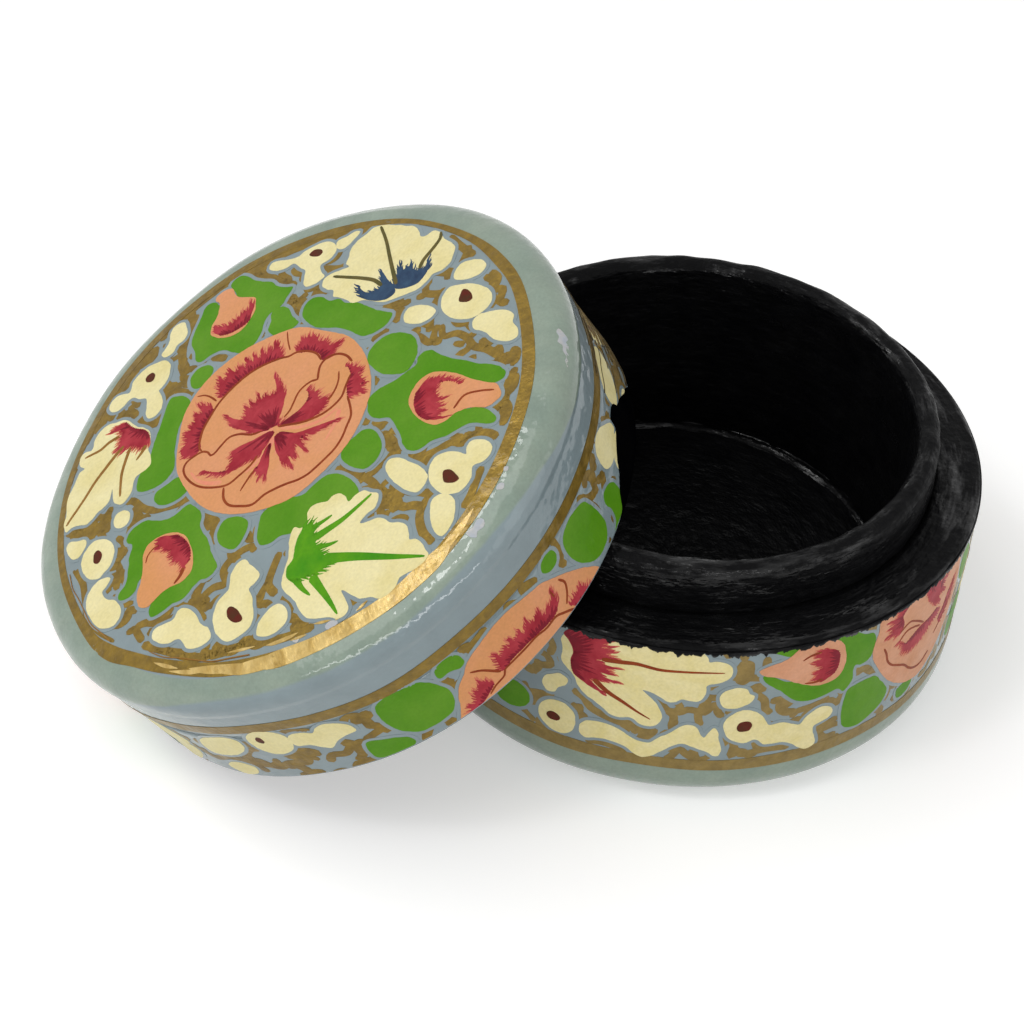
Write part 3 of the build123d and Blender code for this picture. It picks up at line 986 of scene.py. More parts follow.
lid_side_leaves = [
    [(-14, 10.4), (-12, 10.4), (-10.9, 10.25), (-9.4, 9.9), (-8.4, 8.8), (-7.85, 7.6),
     (-7.3, 6), (-7.6, 4.2), (-8.6, 2.7), (-10.2, 2.2), (-12.7, 2.2), (-13.5, 2.4),
     (-15.1, 4), (-15.85, 6), (-15.85, 8.1), (-15.3, 9.8)],
    [(-7.3, 8.8), (-7.1, 9.7), (-6.1, 10.4), (-4.3, 10.25), (-3.6, 9.1), (-3.7, 8.1),
     (-4.5, 7.7), (-5.8, 8.3), (-7.1, 8.3)],
    [(-20.2, 3.7), (-19.7, 4.5), (-17.9, 4), (-16.1, 3.2), (-15.1, 2.4), (-14.8, 1.2),
     (-16.1, 0.5), (-18.7, 0.6), (-20.2, 1.2)],
    [(10.1, 8.6), (10.7, 9.6), (11.9, 9.9), (12.9, 9.4), (12.9, 8.3), (12.2, 7.6), (10.9, 7.7)],
    [(14.3, 7.8), (15, 8.8), (16.8, 9.4), (18.8, 9.1), (20.4, 8.3), (20.9, 6.8), (21.1, 4.7),
     (20.9, 3), (19.6, 1.7), (17.8, 1.4), (16.3, 1.9), (15.2, 3), (14.5, 4.2), (14.1, 6)],
    [(22.7, 4.2), (23.4, 5.25), (25, 5), (25.9, 4.2), (26, 2.6), (25.2, 1), (23.9, 0.2),
     (21.4, -0.6), (20.1, -0.6), (20.6, 0.4), (22.4, 1.4), (22.9, 2.7)]]
lid_side_petals = [
    [(-42.5, 6.5), (-42.3, 8.1), (-41, 9.4), (-38.9, 10.1), (-36.6, 10.5), (-35.3, 9.9),
     (-34.95, 8.6), (-35.6, 7.3), (-37.4, 6.15), (-39.9, 5.5), (-42, 5.6)],
    [(-33.4, 9.9), (-32.5, 11.15), (-31.2, 11.8), (-29.4, 11.5), (-28.2, 10.4), (-27.8, 8.85),
     (-28.4, 7.05), (-29.95, 6.15), (-31.7, 6.3), (-33, 7.6)],
    [(-27.9, 9.1), (-26.9, 9.9), (-25.3, 9.7), (-24.3, 9.2), (-23.5, 10), (-22.3, 10.4),
     (-20.7, 9.7), (-19.6, 8.6), (-19.4, 7.3), (-21, 7.05), (-22.5, 6.5), (-23.8, 5.5),
     (-24.8, 6), (-26.1, 7.05), (-27.7, 7.4)],
    [(-48.2, 6), (-45.8, 5.5), (-45.6, 4), (-47.1, 1.9), (-49.4, 0.4), (-50.6, 1.4),
     (-50.2, 3.6), (-49.6, 5)],
    [(26.3, 7.1), (26.8, 8.9), (28.2, 9.8), (30, 9.5), (31.5, 8.3), (32.6, 7.1), (32.6, 6.2),
     (31.2, 5.9), (29.7, 5.2), (27.6, 5.35), (26.5, 6.1)],
    [(-41.8, 2.4), (-40.4, 3.6), (-38.6, 3.8), (-37, 2.8), (-37.6, 1.4), (-39.4, 0.8),
     (-41, 1.2)]]
lid_side_rose = [
    [(-8.9, 0.4), (-7.85, 2.2), (-7.1, 4), (-6.1, 5.5), (-4.8, 6.5), (-3.7, 7.6), (-2.5, 8.2),
     (-0.7, 8.7), (1.4, 9.2), (3.9, 9.2), (6, 8.7), (7.8, 8.2), (9.1, 7.8), (10.4, 6.8),
     (11.6, 5.9), (12.9, 4.7), (13.9, 3.7), (15, 2.4), (16, 0.9), (16.5, -0.4), (10, -1),
     (0, -1), (-9, -1)]]
lid_side_crimson = [
    [(-1.05, 2.8), (-0.9, 4.7), (-0.5, 5.8), (-0.15, 4.7), (0.9, 5.5), (1.1, 4.7), (2, 5.9),
     (2.3, 4.9), (3.3, 5.6), (3.7, 4.5), (4.85, 5.8), (5.1, 4.7), (6.5, 5.25), (6.8, 4),
     (7.9, 4.5), (8.3, 4.2), (9.3, 5.8), (9.2, 4), (8.8, 3.2), (7.8, 2.7), (6, 2.7),
     (4.5, 2.95), (2.4, 3.1), (0.6, 3.1)],
    [(-7.3, 0.25), (-6.6, 1.7), (-6.1, 1.4), (-5.2, 3.2), (-4.8, 2.7), (-4.1, 4), (-3.5, 3.2),
     (-3, 2.2), (-4.1, 1.4), (-5.3, 0.8), (-6.3, 0.1)],
    [(10.1, 1.7), (11.6, 1.8), (12.5, 2.05), (13.2, 0.9), (14.2, 0.1), (12.9, -0.4),
     (11.6, 0.1), (10.6, 0.6)]]
lid_side_lines = [
    (0.25, 0.4, [(-4.1, 6.15), (-3, 5.25), (-2.1, 4), (-1.4, 2.95)]),
    (0.25, 0.35, [(-4.1, 1.15), (-3, 1.7), (-1.4, 2.05), (-0.9, 2.7), (0.4, 2.8), (2.7, 2.8),
                  (4.5, 2.8), (6, 2.4), (7.8, 2.4), (8.8, 1.7), (9.8, 0.9), (10.6, -0.1)]),
    (0.35, 0.25, [(11, 5.8), (11.4, 4.7), (10.9, 3.5), (9.8, 2.2)]),
    (0.15, 0.35, [(9.3, 6), (9.2, 4.7)])]
lid_side_gold = [
    (1, 0.8, [(-7.3, 6.5), (-6.1, 7.05)]), (0.8, 0.8, [(-2.7, 9.1), (-0.9, 9.5), (0.9, 9.7)]),
    (1, 0.8, [(6.5, 9.7), (7.8, 9.4), (9.1, 8.6)]),
    (0.8, 0.8, [(-10.4, 2.4), (-10, 1.6), (-10.2, 0.6)]),
    (0.8, 0.8, [(13.3, 9.6), (13.6, 8.1), (12.7, 6.8), (13.2, 6)]),
    (0.5, 0.5, [(21.1, 7.05), (21.4, 5.8), (21.3, 4.7), (20.9, 3), (19.6, 1.7), (19.8, 0.6)]),
    (0.9, 0.8, [(20.4, 9.1), (21.1, 7.8), (22.7, 7.05), (23.9, 8.1), (24.5, 8.8)]),
    (0.8, 0.8, [(23.9, 7.3), (25.2, 6.5)]),
    (1.2, 0.9, [(24.7, 8.3), (25.4, 9.2), (26.4, 9.6)]),
    (0.8, 0.8, [(31.5, 9.2), (32.6, 7.9), (33.8, 7.85)]),
    (0.9, 0.7, [(-27.9, 10.7), (-26.4, 10.5), (-24.3, 9.9)]),
    (1.6, 1.2, [(-19, 9.4), (-17.6, 8.9), (-16.3, 9.5)]),
    (1, 0.8, [(-17.4, 8.4), (-17.6, 7.3), (-16.6, 6), (-17.9, 5.5), (-19.7, 5)]),
    (0.8, 0.8, [(-16.6, 6), (-16.4, 4.7)]),
    (0.9, 0.9, [(-19.7, 5), (-21.7, 4.7), (-23, 3.7), (-24.8, 4), (-25.8, 2.7)]),
    (1, 0.9, [(-28.9, 5.25), (-28.2, 4.4), (-28.7, 3.5), (-31, 3.8), (-33, 3), (-34.4, 3.6),
              (-35.6, 4.7)]),
    (0.9, 0.8, [(-35.6, 4.7), (-38, 4.4), (-40, 4.9), (-43, 3.9), (-44.6, 5)]),
    (0.8, 0.8, [(-34.2, 9.4), (-34.4, 8)])]
lid_way_round = 2 * pi * lid_wall_radius
band_levels = [10.9, 12.1, 12.6, 12.1, 11.4, 11.6, 11.3, 11, 10.9, 10.8, 11.1, 10.7, 11.2, 11,
               10.8, 11.3, 11.1, 10.7, 10.9, 11.2, 11, 10.8, 11.1, 10.9]
gold_band_run = [(-52 + lid_way_round * i / 24, level, 1.9)
                 for i, level in enumerate(band_levels + band_levels[:1])]
lid_groups = [lid_way_round / 3 * turn for turn in range(3)]
above_rim = (0.75, 19)
lid_side_roots = [(4, -1.5), (-4, -2), (10.4, -2)]
lid_side_feathers = fringe(lid_side_crimson, lid_side_roots, lid_side_rose, 0.9)
lid_side_shading = shaded(lid_side_crimson, lid_side_roots)
lid_side_dots = [[(-32.2, 9.4), (-32, 10.1), (-31.6, 10.4), (-31.2, 10), (-31.2, 9.2),
                  (-31.6, 8.9)]]
painted("lid_gold_band", "lid", on_lid_side, 0.05, gold_paint, strokes=[gold_band_run])
painted_over("lid", on_lid_side, [
    ("lid_side_scrolls", 0.03, gold_paint, (),
     heavier(lid_side_gold) + wandering_scrolls((-44, -1), (34, 10.6))),
    ("lid_side_margins", 0.04, lid_ground, (),
     margins(lid_side_leaves + lid_side_petals + lid_side_rose)),
    ("lid_side_leaves", 0.06, leaf_paint, lid_side_leaves, ()),
    ("lid_side_petals", 0.075, cream_paint, lid_side_petals, ()),
    ("lid_side_roses", 0.09, salmon_paint, lid_side_rose, ()),
    ("lid_side_blush", 0.097, blush_paint, (),
     fringe(lid_side_crimson, lid_side_roots, lid_side_rose, 1.2, 0.5)),
    ("lid_side_crimson", 0.105, crimson_paint, lid_side_crimson, lid_side_feathers),
    ("lid_side_crimson_shading", 0.112, dark_crimson_paint, (), lid_side_shading),
    ("lid_side_lines", 0.12, line_paint, (), lid_side_lines)],
    between=above_rim, repeats=lid_groups)
painted("lid_side_dots", "lid", on_lid_side, 0.12, dot_paint, lid_side_dots,
        repeats=lid_groups)


# ---- Wear on the lid's side --------------------------------------------------------
# Where the side faces the base its paint is old and worn: gold shows in streaks, dark
# cracks run round it, and black lacquer was brushed up over the rim, where it is painted
# dead matt black as painted shade.
crack_paint = varnished("old_crack_paint", (52, 44, 28), (112, 96, 62), streak=900.0,
                        leaning=True)
# Each crack: its level, where it starts and ends round the side, and its width
cracks = [(12.6, 41, 56, 0.25), (11.6, 38, 50, 0.15), (10.9, 37, 57, 0.3), (9.9, 44, 58, 0.2),
          (9, 36, 45, 0.15), (8.4, 46, 60, 0.35), (7.2, 41.5, 52, 0.15), (6.2, 46, 60, 0.25),
          (5.4, 38.5, 47, 0.15), (4.2, 45, 60, 0.3), (2.9, 42.5, 54, 0.2), (1.9, 46, 60, 0.3),
          (1.3, 43, 50, 0.2)]


def along_the_side(level, first, last, width, drift):
    """A wandering stroke at about one level, thinner at its end."""
    return (width, width * 0.5, [
        (along, level + drift * noise.noise((along / 4, level * 3.3, 2.0)))
        for along in (first + (last - first) * i / 9 for i in range(10))])


painted("lid_side_worn_gold", "lid", on_lid_side, 0.127, gold_paint,
        strokes=[along_the_side(*run, 0.5) for run in
                 ((10.3, 44.5, 54, 0.9), (8.9, 45.5, 55, 0.8), (7.7, 44.5, 53, 0.7))],
        between=above_rim)
painted("lid_side_cracks", "lid", on_lid_side, 0.135, crack_paint,
        strokes=[along_the_side(*crack, 0.6) for crack in cracks], between=above_rim)
# The rim's black lacquer, made dead black, matt and without gloss: painted shade, as dark as the
# shaded inside of the box
shade_black_paint = varnished("lacquer_painted_shade_black", (2, 2, 3), (5, 5, 6), roughness=0.9,
                       coat=0.0, specular=0.0, leaning=True)
rim_black = [(22.4, 0.15), (24.4, 1), (25.6, 2.2), (27.4, 3.1), (29, 4.4), (30.9, 5.2),
             (32.9, 5.9), (33.2, 6.9), (33.8, 7.1), (35.8, 6.7), (36.4, 5.6), (37.2, 5.1),
             (38.6, 4.4), (40.5, 2.9), (41.8, 2.3), (43.3, 0.15)]
painted("lid_rim_black", "lid", on_lid_side, 0.15, shade_black_paint, [rim_black], cuts=(1.0, 0.25))


# ---- Gold ring on the lid's top ----------------------------------------------------
# A gold line brushed round the edge of the top, where the shoulder starts. At the front it
# is painted lighter in streaks, a painted highlight where it catches the light. Pale marks on
# the shoulder and inside the ring are partly chips down to the ground, partly painted highlights.
def on_lid_top(right, up, lift):
    """The spot on the domed top, or on the shoulder round it."""
    radius = hypot(right, up)
    spot = (-right, -up, lid_top_height(radius))
    height = spot[2] + lift + hand_unevenness(spot, paint_depth, paint_period)
    return lean @ Vector((-right, -up, height))


# Round the ring: the turn, and the line's inner and outer edge there
ring_edges = [(0, 32.7, 34.2), (12, 32.6, 34.1), (24, 32.7, 33.7), (40, 32.6, 33.4),
              (52, 32.2, 33.2), (65, 31.9, 33.1), (80, 32.1, 33.4), (92, 32.4, 33.8),
              (110, 32.9, 34.3), (128, 33.3, 34.6), (148, 33.9, 35), (165, 34, 35.1),
              (180, 34, 35.1), (200, 34.1, 35.5), (208, 33.6, 35.6), (215, 33, 34.8),
              (224, 32.6, 34.4), (240, 32.6, 34.5), (258, 32.8, 34.9), (272, 33, 35.1),
              (284, 33.5, 35.4), (300, 33, 34.9), (316, 32.7, 34.5), (336, 32.6, 34.3),
              (360, 32.7, 34.2)]


def round_the_top(turn, radius):
    """A place on the flat of the pattern, from its turn and its distance out."""
    return -radius * cos(radians(turn)), -radius * sin(radians(turn))


top_ring = [(*round_the_top(turn, (inner + outer) / 2), outer - inner)
            for turn, inner, outer in ring_edges]
painted("lid_gold_ring", "lid", on_lid_top, 0.05, gold_paint, strokes=[top_ring],
        cuts=(1.5, 1.5))
# Streaks of lighter gold, a painted highlight where the ring catches the light, and a few
# pale painted glints inside the ring: a width, and its run of turns and distances out
gold_highlights = [
    (0.5, [(221, 33.4), (228, 33.5)]), (0.6, [(226, 34), (236, 33.7)]),
    (1, [(231, 33.4), (240, 33.6), (248, 33.7)]), (1.5, [(239, 34), (250, 33.8), (259, 33.9)]),
    (2.1, [(246, 33.8), (257, 33.9), (266, 34), (276, 34.2), (286, 34.4), (296, 34.1)]),
    (0.9, [(286, 34.4), (294, 34.1), (303, 33.8)]), (0.4, [(240, 31.4), (247, 31.2)]),
    (0.5, [(250, 31.5), (254, 31.6), (258, 31.3)]), (0.4, [(256, 32), (260, 32.1)]),
    (0.4, [(262, 31.1), (266, 31.8)]), (0.5, [(267, 32.2), (270, 31.9)]),
    (0.4, [(272, 32.7), (275, 32.3)])]
# Lighter gold that stands for the light caught on the ring's front: a painted highlight
highlight_gold_paint = varnished("highlight_gold_paint", (210, 182, 116), (160, 128, 58),
                              streak=520.0, roughness=0.3, coat=0.3, metallic=0.3, bump=0.2,
                              stretch=(1, 0.35, 1), leaning=True)
# Pale marks: partly chips down to the ground, partly painted highlights where the varnish catches
# the light
chips_glints_paint = varnished("bare_chip_and_glint_paint", (190, 186, 180), (170, 176, 184),
                       streak=700.0, leaning=True)
pale_chips_and_glints = [[(298, 35.1), (299.5, 35.3), (301.5, 35.2), (302, 35.8), (301, 36.3), (299.5, 36.1),
          (298.4, 36.4), (297.8, 35.7)],
         [(308.3, 35), (309.6, 35), (310, 35.5), (308.8, 35.7)],
         [(312.3, 34.6), (313.2, 34.5), (313.4, 35), (312.6, 35.1)],
         [(346, 36.9), (345, 36.7), (343.8, 36.9), (342.6, 36.8), (342, 37.2), (340.5, 37.3),
          (339.6, 37.55), (338.5, 37.5), (337, 37.75), (338.5, 37.85), (340.5, 37.8),
          (342, 37.7), (342.8, 37.5), (343.6, 37.65), (345.2, 37.3)],
         [(264.5, 32.2), (265.5, 31.9), (267, 32.2), (267.4, 32.8), (266, 33), (264.6, 32.8)],
         [(256.5, 32.1), (257.4, 31.8), (258.2, 32.1), (257.6, 32.6)]]


def highlight_streak(width, run):
    """A streak of lighter gold, a painted highlight, that fades out at both of its ends."""
    middle = [((a[0] + b[0]) / 2, (a[1] + b[1]) / 2) for a, b in zip(run, run[1:])]
    return ([(*round_the_top(*run[0]), 0.1)]
            + [(*round_the_top(*place), width) for place in middle]
            + [(*round_the_top(*run[-1]), 0.1)])


# The ring's painted highlight: streaks of lighter gold at its front
painted("lid_top_painted_gold_highlight", "lid", on_lid_top, 0.06, highlight_gold_paint,
        strokes=[highlight_streak(*streak) for streak in gold_highlights], cuts=(1.5, 1.5))
# Pale marks on the shoulder and inside the ring: partly chips, partly painted highlights
painted("lid_top_chips_and_glints", "lid", on_lid_top, 0.05, chips_glints_paint,
        [[round_the_top(*place) for place in chip] for chip in pale_chips_and_glints], cuts=(0.3, 0.3))


# ---- Flowers on the lid's top ------------------------------------------------------
# The whole bunch: a large rose in the middle, trumpet lilies, buds, narcissi and round
# leaves about it, with gold scrolls between them. Set out flat in millimetres, as the
# lid's own X and Y turned half round.
top_rose = [
    [(-12, 1), (-12.6, -4.5), (-11.5, -9), (-8.5, -13), (-5.5, -16.25), (-1.5, -17.75),
     (3.5, -18.35), (8.5, -17.25), (12.5, -14.25), (14.5, -10), (15.75, -5.5), (15, -0.5),
     (13.5, 3.5), (10.5, 7), (6.5, 9.4), (2, 10.6), (-3, 9.5), (-7, 7.5), (-10, 4.5)],
    [(-26.7, 13.8), (-26.5, 14.7), (-25.7, 15.1), (-24.3, 15.1), (-23.3, 14.3), (-22, 13.5),
     (-20.3, 13.2), (-19.2, 13.5), (-18, 13.25), (-17, 12.3), (-16.2, 10.8), (-15.7, 9.2),
     (-15.6, 7.7), (-16, 6.5), (-17.2, 5.3), (-18.3, 4.75), (-19.5, 4.8), (-20.7, 5.5),
     (-22, 6.7), (-23, 8), (-23.7, 9.2), (-24.7, 10.5), (-25.7, 11.7), (-26.5, 12.5)],
    [(-1, -25.3), (-0.7, -24.3), (0.3, -23.2), (1.7, -22.3), (3, -22.2), (4.3, -22.7),
     (5.5, -23.7), (6.2, -25), (5.8, -26.3), (4.8, -27.3), (4.2, -28.3), (3.8, -29.7),
     (4.2, -30.5), (4, -31), (2.7, -31.3), (1.5, -30.8), (1.3, -29.3), (0.8, -28.3),
     (-0.3, -27.3), (-1.2, -26.3)],
    [(16.6, 8), (16.6, 9.3), (16.9, 10.8), (17.5, 12), (18.5, 12.5), (19.3, 12.6),
     (20.7, 12.3), (22, 12.4), (23.2, 12.8), (24.3, 13.1), (25.25, 12.4), (25.4, 11.5),
     (25.1, 10), (24.3, 8.7), (23.75, 7.3), (23.4, 6), (23.1, 4.7), (22.3, 3.7),
     (21.2, 3.4), (20, 3.5), (18.7, 4), (17.5, 5), (16.8, 6.3)]]
top_crimson = [
    [(1.3, -0.8), (-1, 1), (-3, 1.7), (-6.7, 3), (-2.5, 2.5), (-2, 1.9), (-1.8, 3),
     (-1.2, 1.8), (-1.3, 4.7), (-0.2, 2.5), (0.2, 4.7), (1, 3.7), (0.85, 5.8), (2, 4),
     (2.25, 2.5), (2.3, 1), (1.8, -0.7)],
    [(2.7, 0), (3.2, 1.7), (3.7, 3.3), (4.2, 4.3), (4.7, 5.2), (4.8, 4), (5.7, 4.5),
     (5.3, 3.7), (5.8, 2.7), (5, 2.2), (4.3, 1.3), (3.3, 0.2)],
    [(-0.5, -1), (-3.3, 0.2), (-5.7, -0.7), (-6, -1.7), (-5, -2.2), (-5.2, -3.2),
     (-4.5, -4), (-4.2, -5), (-3.7, -3.3), (-2.3, -2.5), (0, -2), (1, -2.2)],
    [(1.8, -1.5), (3.5, 0.2), (5, 0.8), (6.3, 0.5), (8.7, 0.3), (10, 0), (12.5, -2.5),
     (9.3, -0.2), (8.3, -1), (8, -1.5), (8, -2.2), (7, -2.7), (5, -2.3), (3.7, -2.2),
     (2, -1.8)],
    [(1, -2.3), (0.7, -3), (-0.5, -5), (-1, -6.7), (-0.8, -9.2), (-0.5, -10.5),
     (-0.2, -8.3), (0, -7.7), (0.8, -7.8), (1.5, -8.3), (2, -7.7), (2.3, -9.2), (2.8, -7.7),
     (3.5, -8.7), (3.7, -7.5), (4.3, -8.5), (5, -6.7), (6.3, -7.7), (7.25, -9.2),
     (7, -7.3), (6.3, -5.8), (5.3, -4.5), (4, -3), (2.7, -2.5)],
    [(-10.8, 1.5), (-10.2, 0.8), (-9, 0.7), (-8.75, 0), (-9.2, -1.7), (-10, -2.8),
     (-10, -4.8), (-10.6, -4), (-11.7, -2.2), (-11, -2.3), (-11.5, 0.3), (-10.8, -0.3)],
    [(-10.3, -9.2), (-9, -8.5), (-8, -7.8), (-7.2, -8), (-7, -9.5), (-6, -10.8),
     (-4.2, -12.3), (-4.7, -13), (-5.7, -13.7), (-7.5, -12.5), (-7.3, -11.8), (-8.3, -11),
     (-8.7, -9.8)],
    [(-2.2, -12.9), (-1, -13.35), (1, -13.8), (3, -13.8), (5, -13.35), (7.25, -12.8),
     (7, -15), (6.7, -16.3), (6, -15.2), (5, -16.5), (4.3, -15.4), (3.5, -15.9),
     (2.9, -15.1), (2.4, -16.5), (1.8, -15.2), (1.3, -16.3), (0.7, -15.1), (0.2, -16.3),
     (-0.3, -15.1), (-0.8, -15.9), (-1.3, -15), (-1.9, -16.3), (-2.3, -14.2)],
    [(12, -6.3), (14, -6.7), (14.7, -7.8), (14, -8.5), (13.3, -9.3), (13.5, -10.5),
     (12.5, -10.5), (12.3, -11.2), (11.3, -11.7), (11.3, -12.7), (10.3, -12.2),
     (10.5, -13.7), (9.5, -13), (8.8, -12.3), (8.8, -11.5), (10.3, -10), (11.5, -8.3)],
    [(-20.2, 13.2), (-19.2, 13), (-17.7, 12.2), (-16.5, 10.8), (-16.1, 9.5), (-16.2, 8),
     (-16.8, 6.8), (-18, 5.8), (-19, 5.7), (-20.3, 6.3), (-21.7, 7.7), (-22.6, 9.1),
     (-21.6, 8), (-20.7, 7.4), (-19.8, 7.2), (-19.2, 9), (-19.9, 10), (-18.7, 9.6),
     (-19.4, 10.9), (-18.5, 10.9), (-19.25, 11.8), (-18.3, 11.7), (-19, 12.6)],
    [(-0.7, -25.2), (-0.2, -24.2), (1, -22.8), (2.3, -22.7), (3.8, -23), (5, -23.8),
     (5.7, -25), (5.3, -26.2), (4.7, -25.2), (3.3, -24.5), (1.8, -24.7), (1, -25.2),
     (0.2, -25), (-0.3, -26.3)],
    [(18.3, 11), (18, 10.5), (17.3, 10.2), (16.8, 9), (16.75, 7.7), (17.2, 6.2), (18, 5),
     (19, 4.3), (20, 3.75), (20.7, 3.9), (20.8, 4.5), (21, 5.3), (20.3, 5.3), (20, 6.2),
     (19.3, 6.7), (19.5, 7.5), (19.2, 8), (19.2, 8.7), (18.7, 9), (18.5, 9.8)],
    [(18.3, -13.3), (19, -13), (19.7, -13.2), (20.2, -13.8), (20.7, -14.3), (21.7, -14.8),
     (22.2, -14.5), (22, -15.3), (23.2, -15.3), (22.5, -16), (22.2, -16.8), (21.7, -17.5),
     (21.8, -18.3), (23.2, -19), (22, -19.3), (21, -19.2), (20.5, -18.3), (20, -17.3),
     (19.3, -16.5), (18.5, -15.7), (18.2, -14.7)]]
top_lines = [
    (0.3, 0.35, [(-8.7, 0.3), (-8.6, 2.2), (-8.3, 3.7), (-7.3, 5), (-6.3, 6.25), (-5, 7.25),
                 (-3.3, 7.9), (-2, 8.3), (-0.7, 8.6), (0.7, 8.5), (2.3, 8), (4.2, 7.6),
                 (5.5, 7.5), (7.3, 7.8), (9, 6.75), (10.3, 5.5), (10.7, 4), (10.3, 2.3)]),
    (0.35, 0.3, [(1, -1.8), (-0.5, -1), (-1.7, -0.3), (-3.3, 0.3), (-5, 0.6), (-6.7, 0.4),
                 (-8, -0.2), (-8.8, -1.3), (-10, -2.8)]),
    (0.35, 0.25, [(-10.75, -4.8), (-10.3, -6.3), (-9.3, -7.5), (-7.8, -8), (-6.7, -7.5),
                  (-6, -6.2), (-5.7, -5.5), (-5, -5.8), (-3.7, -5.75), (-2.7, -5.25),
                  (-1.8, -4.2), (-1, -3.3), (0, -2.75)]),
    (0.2, 0.3, [(-8.7, -4.5), (-8.2, -3), (-7.3, -1.8), (-6.2, -1)]),
    (0.3, 0.3, [(4.8, 0.7), (6, 1.5), (8, 2), (9.3, 2.25), (10.3, 2), (12, 0.9), (13.3, -0.3),
                (14.2, -1.7), (14.7, -3), (14.9, -4), (14.8, -5), (14.2, -5.7), (12.8, -5.9),
                (11.7, -5.75), (11, -5), (10.8, -4.3), (10.3, -4.2), (9, -4.8), (7.7, -5.25),
                (6.3, -4.7), (4.7, -3.3), (3.3, -2.8)]),
    (0.3, 0.3, [(-7, -8.3), (-6.7, -9.8), (-5.7, -11.2), (-4.3, -12.2), (-3, -12.4),
                (-2.3, -12.8), (-1, -13.25), (1, -13.7), (3, -13.7), (5, -13.25), (6.7, -12.6),
                (8, -11.9), (9.3, -10.8), (10.7, -9.5), (11.5, -8.2), (12, -6.7), (11.8, -6)]),
    (0.2, 0.15, [(-3.5, -13.3), (-3.6, -15), (-3.9, -16.7)]),
    (0.3, 0.15, [(8, -12.7), (8.5, -13.8), (9.3, -14.9), (10.3, -15.5)]),
    (0.35, 0.2, [(5.8, 2.7), (7, 3.5), (8.3, 4.5)]),
    (0.3, 0.6, [(20, 12.2), (19, 11.6), (18.25, 10.7)]),
    (0.15, 0.15, [(20.7, 4.7), (21.7, 4.8), (22.5, 5.3), (23, 6.2)]),
    (0.25, 0.3, [(-26, 13.3), (-24.4, 12.2), (-22.4, 11.4), (-20.6, 12.4)])]
top_pink_strokes = [
    (0.9, 0.3, [(2, -0.6), (3.6, 1), (5.2, 1.7), (7, 2.2)]),
    (0.8, 0.3, [(1.5, -0.5), (1.9, 1), (2.5, 2.4)]),
    (0.8, 0.3, [(1.8, -1.9), (3.6, -2.8), (5.5, -3.8)]),
    (0.6, 0.3, [(0.8, -1.4), (-1.6, 0.4), (-4.4, 1.4), (-7, 1.2)]),
    (0.7, 0.3, [(10.4, 1.2), (12, 0.1), (13.4, -1.6), (14, -3.6)]),
    (0.7, 0.3, [(-7.2, 1.6), (-6, 3.4), (-4.2, 5)])]
